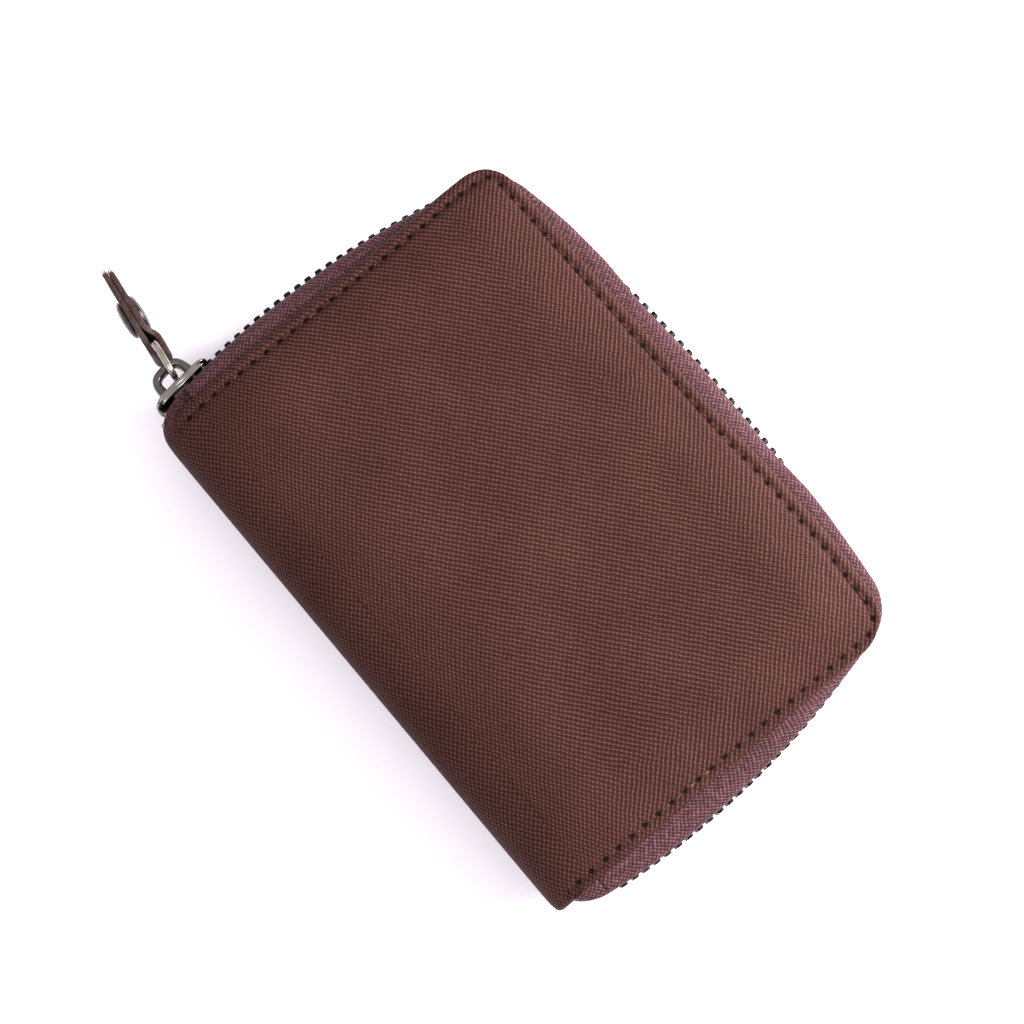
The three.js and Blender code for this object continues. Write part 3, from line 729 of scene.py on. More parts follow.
# Filament thread, slightly brighter than the cloth, its palest flecks painted glints where the plies
# catch the light.
sewing_thread = mottled_finish(
    "brown_sewing_thread",
    "TexNoise",
    [(0.35, "#2c1714"), (0.62, "#3d2622"), (0.78, "#72534b")],
    on="Object",
    grain={"Scale": 900.0, "Detail": 1.0},
    roughness=0.6,
    specular_ior_level=0.1,
)
for side, body, name in ((1, "front_half", "front_seam_thread"), (-1, "back_half", "back_seam_thread")):
    seam = seam_thread(name, side)
    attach(seam, body)


# ---- Wadding and boards ----
# Under each cover lie a sheet of brown foam and a stiff dark board. They are closed in for good.
# The foam shows its open cells and the board its fibres, and both are as dull as blotting paper.
foam = mottled_finish(
    "brown_foam",
    "TexVoronoi",
    [(0, "#241815"), (0.6, "#38261f")],
    out="Distance",
    grain={"Scale": 1400.0},
    roughness=0.95,
    specular_ior_level=0.1,
)
board = mottled_finish(
    "dark_board",
    "TexNoise",
    [(0.3, "#2b211d"), (0.7, "#3a2d27")],
    grain={"Scale": 500.0, "Detail": 4.0},
    roughness=0.9,
    specular_ior_level=0.1,
)
for node, finish in (
    ("front_wadding", foam),
    ("back_wadding", foam),
    ("front_board", board),
    ("back_board", board),
):
    frame["nodes"][node].data.materials.clear()
    frame["nodes"][node].data.materials.append(finish)


# ---- Linings and pockets ----
# Fine dark brown polyester lining, cut to the hems, with card pockets and a note pocket of the same
# cloth. Each pocket's open edge is folded over and sewn.
lining_corner = 15.0  # radius where the zip turns the corner
pocket_corner = 1.0
thin_edge = 0.35  # the share of its thickness that a panel keeps at its rim


def lining_panel(name, node, faces_up, body, fold_edge=False):
    """A sheet over a flat panel of the frame, with a soft rounded edge and slight waves."""
    low, high = box_mm(node)
    _, middle_y, middle = (low + high) / 2
    half_y, thick = (high[1] - low[1]) / 2, (high[2] - low[2]) / 2
    corner = pocket_corner if fold_edge else lining_corner
    nx, ny = 60, 80
    u, v = np.meshgrid(np.linspace(0, 1, nx), np.linspace(-1, 1, ny))
    y = middle_y + v * half_y
    past = np.maximum(np.abs(v) * half_y - (half_y - corner), 0)
    reach = high[0] - corner + np.sqrt(np.maximum(corner**2 - past**2, 0))
    x = low[0] + u * (reach - low[0])
    rim = np.minimum(np.minimum(reach - x, half_y * (1 - np.abs(v))), 1.0)
    edge = np.sqrt(np.clip(1 - (1 - rim) ** 2, 0, 1))
    half = thick * (thin_edge + (1 - thin_edge) * edge)
    wave = 0.06 * np.sin(0.21 * x + 0.13 * y) * rim
    bead = 0.14 * np.exp(-(((high[0] - x - 1.0) / 0.7) ** 2)) if fold_edge else 0
    shown, hidden = half + wave + bead, half - wave
    above, below = (shown, hidden) if faces_up else (hidden, shown)
    top = np.stack([x, y, middle + above], -1).reshape(-1, 3)
    base = np.stack([x, y, middle - below], -1).reshape(-1, 3)
    count = nx * ny
    faces = grid_faces(ny, nx)
    all_faces = [tuple(f) for f in faces] + [tuple(f[::-1] + count) for f in faces]
    ring = (
        list(range(nx))
        + [r * nx + nx - 1 for r in range(1, ny)]
        + [(ny - 1) * nx + c for c in range(nx - 2, -1, -1)]
        + [r * nx for r in range(ny - 2, 0, -1)]
    )
    all_faces += [(a + count, b + count, b, a) for a, b in zip(ring, ring[1:] + ring[:1])]
    cloth_xy = np.stack([x, y, np.zeros_like(x)], -1).reshape(-1, 3)
    both = np.concatenate([cloth_xy, cloth_xy])
    made = closed_piece(name, (np.concatenate([top, base]), all_faces), lining_weave, cloth=both)
    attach(made, body)
    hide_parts(node)


# Fine filament lining: a low even sheen, its floats painted paler as a painted highlight, with yarns
# drawn at 0.4 mm so that they show at all.
lining_weave = woven_finish(
    "fine_brown_lining",
    0.4,
    [(0.0, "#221312"), (0.5, "#2f1d1b"), (1.0, "#47302c")],
    0.04,
    specular_ior_level=0.12,
)
lining_panel("front_lining_cloth", "front_lining", False, "front_half")
lining_panel("back_lining_cloth", "back_lining", True, "back_half")
lining_panel("note_pocket_cloth", "note_pocket", False, "front_half", True)
for i in (1, 2, 3):
    pocket = f"card_pocket_cloth_{i}"
    lining_panel(pocket, f"card_pocket_{i}", True, "back_half", True)

# The spine's lining is one thin sheet with a slight ruck.
lining_low, lining_high = box_mm("spine_lining")
rows_y, rows_z = 70, 16
lining_y, lining_z = np.meshgrid(
    np.linspace(lining_low[1], lining_high[1], rows_y),
    np.linspace(lining_low[2], lining_high[2], rows_z),
    indexing="ij",
)
lining_x = (lining_low[0] + lining_high[0]) / 2 + 0.12 * np.sin(0.35 * lining_y) * np.sin(0.3 * lining_z)
spine_lining = mesh_piece(
    "spine_lining_cloth",
    np.stack([lining_x, lining_y, lining_z], -1).reshape(-1, 3),
    grid_faces(rows_y, rows_z),
    lining_weave,
    cloth=np.stack([lining_z, lining_y, np.zeros_like(lining_y)], -1).reshape(-1, 3),
)
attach(spine_lining, "spine")
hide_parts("spine_lining")
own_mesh(spine_lining)


# ---- Zip tapes ----
# Plum polyester zip tape in a herringbone weave, sewn under the hems. It bows out past the covers,
# turns down to the teeth, and has a thicker woven edge next to them.
short_bow_radius = 165
short_bow_x = joint_at["slider_travel"][0]
short_bow_y = joint_at["slider_travel"][1] + short_bow_radius
long_bow_radius = 410
long_bow_x = 44.45
chain_corner_radius = 9
zip_start_x = -32.5
chain_z = joint_at["slider_travel"][2]


def chain_arcs():
    """The chain's five arcs as centre x, centre y, radius, first angle and last angle."""
    short_centre = np.array([short_bow_x, short_bow_y - short_bow_radius])
    long_centre = np.array([long_bow_x - long_bow_radius, 0])
    from_short = short_bow_radius - chain_corner_radius
    from_long = long_bow_radius - chain_corner_radius
    between = long_centre - short_centre
    apart = np.linalg.norm(between)
    along = (from_short**2 - from_long**2 + apart**2) / (2 * apart)
    aside = math.sqrt(from_short**2 - along**2)
    ahead = between / apart
    sideways = aside * np.array([ahead[1], -ahead[0]])
    middles = [short_centre + along * ahead + s * sideways for s in (1, -1)]
    cx, cy = max(middles, key=lambda p: p[0] + p[1])
    start = math.pi / 2 - math.asin((zip_start_x - short_bow_x) / short_bow_radius)
    first = math.atan2(cy - short_centre[1], cx - short_centre[0])
    second = math.atan2(cy, cx - long_centre[0])
    return [
        (*short_centre, short_bow_radius, start, first),
        (cx, cy, chain_corner_radius, first, second),
        (*long_centre, long_bow_radius, second, -second),
        (cx, -cy, chain_corner_radius, -second, -first),
        (short_centre[0], -short_centre[1], short_bow_radius, -first, -start),
    ]


arcs = chain_arcs()
arc_lengths = [radius * abs(last - first) for _, _, radius, first, last in arcs]
chain_length = sum(arc_lengths)


def chain_at(distance):
    """The chain's point and outward normal at a distance along it, and which arc and share of it."""
    for i, (x, y, radius, first, last) in enumerate(arcs):
        if distance <= arc_lengths[i] or i == len(arcs) - 1:
            share = distance / arc_lengths[i]
            angle = first + (last - first) * share
            normal = np.array([math.cos(angle), math.sin(angle)])
            return np.array([x, y]) + radius * normal, normal, i, share
        distance -= arc_lengths[i]


def hem_at(piece, share, inset):
    """The point of the hem, drawn in by an inset, that faces a share of one of the chain's arcs."""
    edge_x, edge_y = hem_x - hem_inset, hem_y - hem_inset
    sign = 1 if piece < 2 else -1
    corner = head_corner if piece < 2 else tail_corner
    if piece == 2:
        y0, y1 = edge_y - head_corner, tail_corner - edge_y
        point = (edge_x - inset, y0 + (y1 - y0) * share)
    elif piece in (1, 3):
        turn = (1 - share if piece == 1 else share) * math.pi / 2
        radius = corner - inset
        out_x, out_y = radius * math.cos(turn), radius * math.sin(turn)
        point = (edge_x - corner + out_x, sign * (edge_y - corner + out_y))
    else:
        run = share if piece == 0 else 1 - share
        point = (zip_start_x + (edge_x - corner - zip_start_x) * run, sign * (edge_y - inset))
    x, y = np.array(point[0]), np.array(point[1])
    return np.stack(drawn_in(x, y, edge_x - x, edge_y - np.abs(y)))


def overhang(distance, point):
    """How far the tape bulges out over the teeth, from 0 to 1: most of all next to the corners."""
    if distance < arc_lengths[0] + arc_lengths[1] / 2:
        return float(smooth((distance - arc_lengths[0] + 4) / 8)) * 0.35
    if distance < chain_length - arc_lengths[4]:
        most = 0.95 - 0.6 * smooth((point[1] - 38) / 14) - 0.2 * smooth((-point[1] - 30) / 14)
        return float(most * smooth((abs(point[1]) - 16) / 14))
    return 0.55 + 0.2 * float(smooth((point[0] - 18) / 12))


def bezier(p0, p1, p2, p3, count):
    """Points along a curve from p0 to p3, pulled by p1 and p2."""
    t = np.linspace(0, 1, count)[:, None]
    return (1 - t) ** 3 * p0 + 3 * t * (1 - t) ** 2 * p1 + 3 * t * t * (1 - t) * p2 + t**3 * p3


tape_leaves, tape_starts = 0.9, 4.5  # inside the hem's fold: where the tape comes out, and its sewn edge
tape_half = 0.22
tape_cord = 0.16  # the thicker woven edge adds this much
back_bulge = 0.2
under_hem = 1.9  # room that the hem's own thickness takes


def tape_strip(side, seam_z, distances, ease=None):
    """One side's tape between two places on the chain, as points, faces, and place on the flat cloth.
    Ease gives, from 1 to 0, how far each section has drawn back in to the end of the spine."""
    outer, inner, across = [], [], []
    for k, distance in enumerate(distances):
        chain, normal, piece, share = chain_at(distance)
        edge = hem_at(piece, share, tape_leaves)
        margin = hem_at(piece, share, tape_starts)
        edge_out = float((edge - chain) @ normal)
        margin_out = float((margin - chain) @ normal)
        top = seam_z - chain_z if side > 0 else chain_z - seam_z
        over = overhang(distance, chain) if side > 0 else back_bulge
        p0 = np.array([edge_out, top])
        p1 = np.array([0.5 * edge_out + 0.6 * over, top + 0.15])
        bulge = bezier(p0, p1, np.array([0.15 + 2.1 * over, 6.2]), np.array([0.0, 3.3]), 14)
        flat = np.array([[margin_out, top], [0.5 * (margin_out + edge_out), top + 0.05]])
        down = np.array([[0, 3.0], [0, 2.7], [0, 1.6], [0, 0.75]])
        line = np.concatenate([flat, bulge, down])
        slopes = slopes_along(line)
        outward = np.stack([-slopes[:, 1], slopes[:, 0]], 1)
        at_cord = np.exp(-(((line[:, 1] - 3.4) / 0.45) ** 2)) * (np.abs(line[:, 0]) < 1)
        thick = tape_half + tape_cord * at_cord
        lengths = lengths_along(line)
        across.append(lengths[-1] - lengths)
        ripple = 0.12 * math.sin(0.16 * distance) * np.sin(lengths / lengths[-1] * math.pi)
        for grid, offset in ((outer, thick + ripple), (inner, ripple - thick)):
            shifted = line + outward * offset[:, None]
            tilt = (edge - chain) - edge_out * normal
            lag = np.clip(shifted[:, :1] / min(edge_out, -0.1), 0, 1) * tilt
            ground = chain + shifted[:, :1] * normal + lag
            rise = shifted[:, 1]
            if ease is not None:
                reach = np.where(ground[:, 1] * edge[1] > edge[1] ** 2, ease[k], 1.0)
                ground[:, 1] = edge[1] + (ground[:, 1] - edge[1]) * reach
                share_up, _ = roll_share(ground[:, 0], top_power if side > 0 else base_power)
                hem_height = half_height(np.array(99.0), np.array(0.0), side)
                room_up = side * (mid_z + side * hem_height * share_up - chain_z) - under_hem
                if edge[1] < 0:
                    room_up = room_up + 4 * smooth((edge[1] - ground[:, 1]) / 1.2)
                rise = np.minimum(rise, room_up)
            grid.append(np.column_stack([ground, chain_z + side * rise]))
    outer, inner, across = np.array(outer), np.array(inner), np.array(across)
    points, faces = loft(np.concatenate([outer, inner[:, ::-1]], 1))
    along = np.broadcast_to(np.asarray(distances)[:, None], across.shape)
    flat_cloth = np.stack([along, across, np.zeros_like(along)], -1)
    return points, faces, np.concatenate([flat_cloth, flat_cloth[:, ::-1]], 1).reshape(-1, 3)


def zip_tape(name, side, seam_z):
    """One tape along the whole chain, from hem to teeth."""
    points, faces, cloth_xy = tape_strip(side, seam_z, np.linspace(0, chain_length, 330))
    made = closed_piece(name, (points, faces), tape_weave, cloth=cloth_xy)
    return made


# Plum tape: its warp floats catch more light than the weft, and are painted paler as a painted highlight,
# so the ribs show as pale and dark stripes.
# The yarns are drawn a little coarser than real ones so that they show.
front_seam_z, back_seam_z = 18.2, 4.6
tape_weave = woven_finish(
    "plum_zip_tape",
    0.47,
    [(0.0, "#301a1c"), (0.4, "#3d2426"), (0.65, "#4d3034"), (1.0, "#6b4c50")],
    0.08,
    ribs=1.3,
    slubs=0.7,
    specular_ior_level=0.08,
)
for side, seam_z, node, body in (
    (1, front_seam_z, "front_tape", "front_half"),
    (-1, back_seam_z, "back_tape", "back_half"),
):
    strip = zip_tape(node + "_cloth", side, seam_z)
    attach(strip, body)
    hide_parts(node)


# ---- Tape ends ----
# Past the last teeth the two tapes run on for a few millimetres, draw in to the end of the spine and
# are sewn down there.
def tape_end(node, distances, ease):
    """Both tapes past one end of the chain, as one piece."""
    parts, cloths = [], []
    for side, seam_z in ((1, front_seam_z), (-1, back_seam_z)):
        points, faces, cloth_xy = tape_strip(side, seam_z, distances, ease)
        parts.append((points, faces))
        cloths.append(cloth_xy)
    made = closed_piece(node + "_cloth", joined(parts), tape_weave, cloth=np.concatenate(cloths))
    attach(made, "spine")
    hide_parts(node)
    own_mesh(made)


head_run, tail_run = 8.6, 5.2  # how far the tapes run past the last teeth
head_straight = 2  # how much of that stays straight
past_head = np.linspace(0, head_run, 16)
past_tail = np.linspace(0, tail_run, 14)
head_turned = np.maximum(past_head - head_straight, 0) / (head_run - head_straight + 0.1)
head_ease = np.sqrt(np.clip(1 - head_turned**2, 0, 1))
tail_ease = np.sqrt(np.clip(1 - (past_tail / (tail_run + 0.1)) ** 2, 0, 1))
tape_end("head_tape_end", -past_head, head_ease)
tape_end("tail_tape_end", chain_length + past_tail, tail_ease)


# ---- Teeth and stops ----
# Size 5 brass teeth with a dark plating, stamped, then clamped on the tape's edge by their two legs.
# Each ends in a domed head that fits between two teeth of the other row.
tooth_pitch = 2.45
first_tooth = 0.525
tooth_sway = 0.035
stop_share = (0.75, 0.62, 0.92)  # of the solid that each stop stands for
stop_ahead, stop_inwards = 0.7, 2.4


def rounded_ring(half_a, half_b, height, sides, power):
    """A ring in the plane of a and b, between an ellipse and a box, at one height."""
    angles = np.linspace(0, 2 * math.pi, sides, endpoint=False) + math.pi / sides
    a = half_a * np.sign(np.cos(angles)) * np.abs(np.cos(angles)) ** power
    b = half_b * np.sign(np.sin(angles)) * np.abs(np.sin(angles)) ** power
    return np.stack([a, b, np.full(sides, height)], 1)


tooth_levels = [  # half width along the chain, half depth, height, and how square
    (0.22, 0.4, -0.95, 0.55),
    (0.42, 0.75, -0.88, 0.55),
    (0.52, 0.98, -0.62, 0.55),
    (0.54, 1.05, -0.1, 0.55),
    (0.54, 1.08, 0.45, 0.55),
    (0.64, 1.2, 0.85, 0.3),
    (0.7, 1.28, 1.5, 0.3),
    (0.72, 1.3, 2.3, 0.3),
    (0.7, 1.27, 2.75, 0.3),
    (0.58, 1.1, 2.95, 0.4),
]


def tooth_row(name, node, side, shift, body):
    """One side's teeth along the chain, each turned a little as clamping leaves them."""
    template, template_faces = loft([rounded_ring(a, b, z, 14, power) for a, b, z, power in tooth_levels])
    count = int((chain_length - shift - tooth_pitch) / tooth_pitch)
    margin = (chain_length - count * tooth_pitch) / 2
    chance = random.Random(11 + side)
    parts = []
    for i in range(count):
        point, normal, _, _ = chain_at(margin + shift + first_tooth + i * tooth_pitch)
        along = np.array([normal[1], -normal[0]])
        sway = chance.uniform(-tooth_sway, tooth_sway)
        a = template[:, :1] + sway * (template[:, 2:] - 1.5)
        under_tape = 0.5 * overhang(margin + shift + i * tooth_pitch, point)
        ground = point + a * along + (template[:, 1:2] - under_tape) * normal
        parts.append((np.column_stack([ground, chain_z + side * template[:, 2]]), template_faces))
    made = closed_piece(name, joined(parts), dark_plating)
    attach(made, body)
    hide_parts(node)


def metal_finish(name, stops, roughness, scratch=0.0):
    """Plated metal: its colour drifts over a few mm, and fine handling marks change its roughness."""
    made, tree, shader = new_material(name, metallic=1.0, roughness=roughness)
    place = add_node(tree, "TexCoord", out="Object")
    drift = add_node(tree, "TexNoise", place, Scale=420.0, Detail=3.0)
    colour = add_node(tree, "ValToRGB", drift, stops=stops)
    tree.links.new(colour, shader.inputs["Base Color"])
    marks = add_node(tree, "TexNoise", place, Scale=2400.0, Detail=4.0)
    rough = add_node(tree, "MapRange", marks, 0.3, 0.7, roughness * 0.75, roughness * 1.35)
    tree.links.new(rough, shader.inputs["Roughness"])
    if scratch:
        bump = add_node(tree, "Bump", Height=marks, Distance=scratch * mm, Strength=0.6)
        tree.links.new(bump, shader.inputs["Normal"])
    return made


# Black nickel plate over stamped brass: nearly black and half dull, with soft glints on the edges.
dark_plating = metal_finish("black_nickel_plate", [(0.3, "#151315"), (0.7, "#2a272a")], 0.45, 0.01)
tooth_row("front_tooth_row", "front_teeth", 1, 0, "front_half")
tooth_row("back_tooth_row", "back_teeth", -1, tooth_pitch / 2, "back_half")

# Bright nickel plate over zinc alloy, barrel polished: smooth and warm grey.
nickel_plate = metal_finish("bright_nickel_plate", [(0.3, "#6e6966"), (0.7, "#938e8a")], 0.13, 0.004)


def crimped_stop(node):
    """A bent clip of nickel-plated strip, pinched over both tapes' edges."""
    low, high = box_mm(node)
    middle = (low + high) / 2
    half = (high - low) / 2 * stop_share
    middle += (stop_ahead, -stop_inwards * np.sign(middle[1]), 0)
    rings = []
    for t in np.linspace(-1, 1, 15):
        pinch = 1 - 0.1 * math.cos(t * math.pi) ** 2
        end = math.sqrt(max(0.06, 1 - abs(t) ** 7))
        width, depth = half[:2] * pinch * end
        rings.append(rounded_ring(width, depth, half[2] * t, 20, 0.8) + middle)
    made = closed_piece(node + "_crimped", loft(rings), nickel_plate)
    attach(made, "spine")
    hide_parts(node)


for stop in ("front_top_stop", "back_top_stop", "bottom_stop"):
    crimped_stop(stop)


# ---- Slider ----
# A die-cast zinc slider: two plates joined by a wedge at the mouth, with lips that guide the rows of
# teeth. It is plated in bright nickel, and it sits at the head of the zip.
slider_start_x = -32
bow = math.asin((slider_start_x - short_bow_x) / short_bow_radius)
slider_origin = (
    short_bow_x + short_bow_radius * math.sin(bow),
    short_bow_y - short_bow_radius * (1 - math.cos(bow)),
    chain_z,
)
slider_half = 6.6
mouth_half, tail_half = 4.8, 4.1
channel_half, plate_thickness = 1.6, 0.9
lip_width, tape_slot = 0.8, 0.9
waist_x, shoulder_x = 1.8, -1.8  # between these the plate widens from tail to mouth
tail_radius, mouth_radius = 1.3, 2.0
inner_smaller = 1.1  # the inner plate is this much narrower all round


def placed(made, origin, *turns):
    """Moves a piece made about its own axes to a place in mm, after turns of (degrees, axis)."""
    matrix = Matrix.Translation(Vector(origin) * mm)
    for degrees, axis in turns:
        matrix = matrix @ Matrix.Rotation(math.radians(degrees), 4, axis)
    made.data.transform(matrix)
    return made


def plate_outline(shrink):
    """The outline of a slider plate in its own x and z: wide shoulders at the mouth, a narrower tail."""
    mouth, tail = mouth_half - shrink, tail_half - shrink
    start, end = shrink - slider_half, slider_half - shrink
    half = [(end, z) for z in np.linspace(0, tail - tail_radius, 6)]
    for a in np.linspace(0.2, 1.5, 6):
        half.append((end - tail_radius * (1 - math.cos(a)), tail - tail_radius * (1 - math.sin(a))))
    half += [(x, tail) for x in np.linspace(end - 1.5, waist_x, 6)]
    for t in np.linspace(0.1, 1, 8):
        half.append((waist_x + (shoulder_x - waist_x) * t, tail + (mouth - tail) * t * t * (3 - 2 * t)))
    half += [(x, mouth) for x in np.linspace(-2.4, start + mouth_radius, 5)]
    for a in np.linspace(0.25, 1.5, 8):
        half.append((start + mouth_radius * (1 - math.sin(a)), mouth * (math.cos(a) ** 0.55)))
    return np.array(half + [(start, 0)] + [(x, -z) for x, z in reversed(half[1:])])


def slider_plate(side):
    """One plate with a rounded rim, bent down a little at the mouth and at the tail."""
    levels = [  # how far in from the outline, and how far above the channel
        (0.12, 0.0),
        (0.0, 0.1),
        (0.0, 0.62),
        (0.08, 0.8),
        (0.3, 0.9),
        (1.2, 1.0),
        (2.4, 1.06),
    ]
    rings = []
    smaller = 0 if side > 0 else inner_smaller
    for shrink, above in levels:
        outline = plate_outline(shrink + smaller)
        sag = 0.35 * smooth((np.abs(outline[:, 0]) - 3.8) / 2.8) * (above > 0)
        level = side * (channel_half + above - sag)
        rings.append(np.stack([outline[:, 0], level, outline[:, 1]], 1))
    return loft(rings)


def slider_lip(side, edge):
    """The lip along one long edge of a plate, which holds the row of teeth in."""
    rings = []
    for x in np.linspace(-5.2, 5.6, 20):
        spread = mouth_half + (tail_half - mouth_half) * smooth((x - shoulder_x) / (waist_x - shoulder_x))
        spread -= 0 if side > 0 else inner_smaller
        ends = max(0.25, math.sqrt(max(0, 1 - abs((x - 0.2) / 5.45) ** 10)))
        ring = rounded_ring(lip_width / 2 * ends, (channel_half - tape_slot + 0.35) / 2, 0, 16, 0.6)
        z = edge * (spread - lip_width / 2) + ring[:, 0]
        y = side * ((channel_half + tape_slot + 0.35) / 2 + ring[:, 1])
        rings.append(np.stack([np.full(16, x), y, z], 1))
    return loft(rings)


# The wedge stands between the plates at the mouth, and parts the rows.
wedge_rings = []
for y in (-channel_half - 0.2, channel_half + 0.2):
    wedge = [(-6.2, 0), (-6.0, 0.8), (-5.2, 1.15), (-4.0, 0.8), (-2.7, 0.35), (-2.4, 0)]
    wedge = wedge + [(x, -z) for x, z in reversed(wedge[1:-1])]
    wedge_rings.append([(x, y, z) for x, z in wedge])
slider_parts = [slider_plate(1), slider_plate(-1), loft(wedge_rings)]
slider_parts += [slider_lip(side, edge) for side in (1, -1) for edge in (1, -1)]
slider_cast = closed_piece("slider_casting", joined(slider_parts), nickel_plate)
slider_cast.modifiers.new("crisp_edges", "WEIGHTED_NORMAL")
slider_turn = (-math.degrees(bow), "Z")
placed(slider_cast, slider_origin, slider_turn)
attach(slider_cast, "slider")
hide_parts("slider_body")


# ---- Crown ----
# The crown is a bent strip of plated steel on two feet. It is pressed on the outer plate, and it holds
# the ring.
crown_top = 7.4
crown_half = 4.1
crown_band = 1.7
crown_width = 2.9


def crown_line():
    """The middle of the crown's strip from foot to foot, in the slider's own x and y."""
    inset = crown_band / 2
    foot = channel_half + plate_thickness - 0.1
    left, right, top = inset - crown_half, crown_half - inset, crown_top - inset
    first, last = np.array([left, foot]), np.array([right, foot])
    summit = np.array([0.4, top])
    rise = bezier(first, np.array([left - 0.3, 6.9]), np.array([-1.6, top]), summit, 22)
    fall = bezier(summit, np.array([2.6, top]), np.array([right, 6.2]), last, 22)
    return np.concatenate([rise, fall[1:]])


crown_path = crown_line()
crown_rings = []
for i, ((x, y), (sx, sy)) in enumerate(zip(crown_path, slopes_along(crown_path))):
    from_foot = min(i, len(crown_path) - 1 - i)
    flare = 1 + 0.35 * math.exp(-from_foot / 2.5)
    ring = rounded_ring(crown_band / 2 * flare, crown_width / 2 * flare, 0, 20, 0.6)
    crown_rings.append(np.stack([x - sy * ring[:, 0], y + sx * ring[:, 0], ring[:, 1]], 1))

# Gunmetal plate: darker and greyer than the nickel, so that the crown reads against the casting.
gunmetal = metal_finish("gunmetal_plate", [(0.3, "#4a4545"), (0.7, "#6f6967")], 0.13, 0.004)
crown = closed_piece("crown_strip", loft(crown_rings), gunmetal)
placed(crown, slider_origin, slider_turn)
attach(crown, "slider")
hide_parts("slider_crown")


# ---- Ring ----
# A closed ring of round steel wire in pale warm nickel, bent to a rounded square.
wire_radius = 0.62
ring_reach = 8
ring_half_width = 4
ring_bend = 2.2
pull_origin = joint_at["ring_swing"]
pull_turns = ((90 - 8.5, "Z"), (9, "Y"))  # how the pull lies at rest


def ring_line():
    """The middle of the wire in the pull's own axes: four bends joined by straight bars."""
    half = ring_reach / 2
    line = []
    for cx, cz, start in ((1, 1, 0), (-1, 1, 90), (-1, -1, 180), (1, -1, 270)):
        for a in np.radians(np.linspace(start, start + 90, 9)):
            x = half + cx * (half - ring_bend) + ring_bend * math.cos(a)
            z = cz * (ring_half_width - ring_bend) + ring_bend * math.sin(a)
            line.append((x, 0, z))
    return np.array(line)


ring_path = ring_line()
ring_next = np.roll(ring_path, -1, 0) - np.roll(ring_path, 1, 0)
ring_next /= np.linalg.norm(ring_next, axis=1)[:, None]
wire_sides = 18
wire_angles = np.arange(wire_sides) * 2 * math.pi / wire_sides
up_wire = np.array([0, 1, 0])
ring_points, ring_faces = [], []
for i, (point, ahead) in enumerate(zip(ring_path, ring_next)):
    out = np.array([ahead[2], 0, -ahead[0]])
    n = (i + 1) % len(ring_path)
    for j, a in enumerate(wire_angles):
        m = (j + 1) % wire_sides
        ring_points.append(point + wire_radius * (math.cos(a) * out + math.sin(a) * up_wire))
        near, far = i * wire_sides, n * wire_sides
        ring_faces.append((near + j, near + m, far + m, far + j))

# Warm nickel wire, drawn and tumbled: paler than the slider.
wire_plate = metal_finish("warm_nickel_wire", [(0.3, "#91857b"), (0.7, "#b5a99c")], 0.14)
ring = closed_piece("wire_ring", (ring_points, ring_faces), wire_plate)
placed(ring, pull_origin, *pull_turns)
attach(ring, "pull_ring")
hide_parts("pull_ring")


# ---- Strap ----
# A strip of brown imitation leather, a grained coating on a pale knitted backing. It is folded round
# the ring, its two layers are riveted together, and its cut ends have begun to fray.
strap_thickness = 1.16
strap_end = 24.7
strap_half_width = 4.8
waist_half_width = 2.9
flare_run = 4.6  # from the waist to the full width
fold_centre = 6.6
loop_half = 1.28
loop_end = 8.4
join_start = 12.0
layer_gap = 1.15


def strap_line():
    """The middle of the strip in the pull's own x and y, from one cut end round the ring to the other."""
    joined_y = loop_half - layer_gap
    near = [(x, loop_half) for x in np.linspace(strap_end, fold_centre, 46)]
    turn = [
        (fold_centre + loop_half * math.cos(a), loop_half * math.sin(a))
        for a in np.linspace(math.pi / 2, 3 * math.pi / 2, 15)[1:]
    ]
    bend = bezier(
        np.array([loop_end, -loop_half]),
        np.array([loop_end + 1.4, -loop_half]),
        np.array([loop_end + 1.8, joined_y]),
        np.array([join_start, joined_y]),
        14,
    )
    far = [(x, joined_y) for x in np.linspace(join_start, strap_end - 0.4, 36)[1:]]
    return np.array([*near, *turn, *map(tuple, bend), *far], float)


strap_path = strap_line()
strap_rings, strap_marks = [], []
strap_run = 0.0
for i, ((x, y), (sx, sy)) in enumerate(zip(strap_path, slopes_along(strap_path))):
    strap_run += np.linalg.norm(strap_path[i] - strap_path[i - 1]) if i else 0
    half = waist_half_width + (strap_half_width - waist_half_width) * smooth((x - loop_end) / flare_run)
    half += 0.08 * math.sin(1.7 * strap_run)
    at_end = 0.82 if i in (0, len(strap_path) - 1) else 1.0
    ring = rounded_ring(strap_thickness / 2 * at_end, half * (0.96 + 0.04 * at_end), 0, 28, 0.16)
    strap_rings.append(np.stack([x - sy * ring[:, 0], y + sx * ring[:, 0], ring[:, 1]], 1))
    from_edge = 1 - np.clip((half - np.abs(ring[:, 1])) / 0.5, 0, 1)
    cut = float(i < 1 or i > len(strap_path) - 2)
    strap_marks.append(np.maximum(from_edge * (np.abs(ring[:, 0]) < strap_thickness * 0.42), cut))

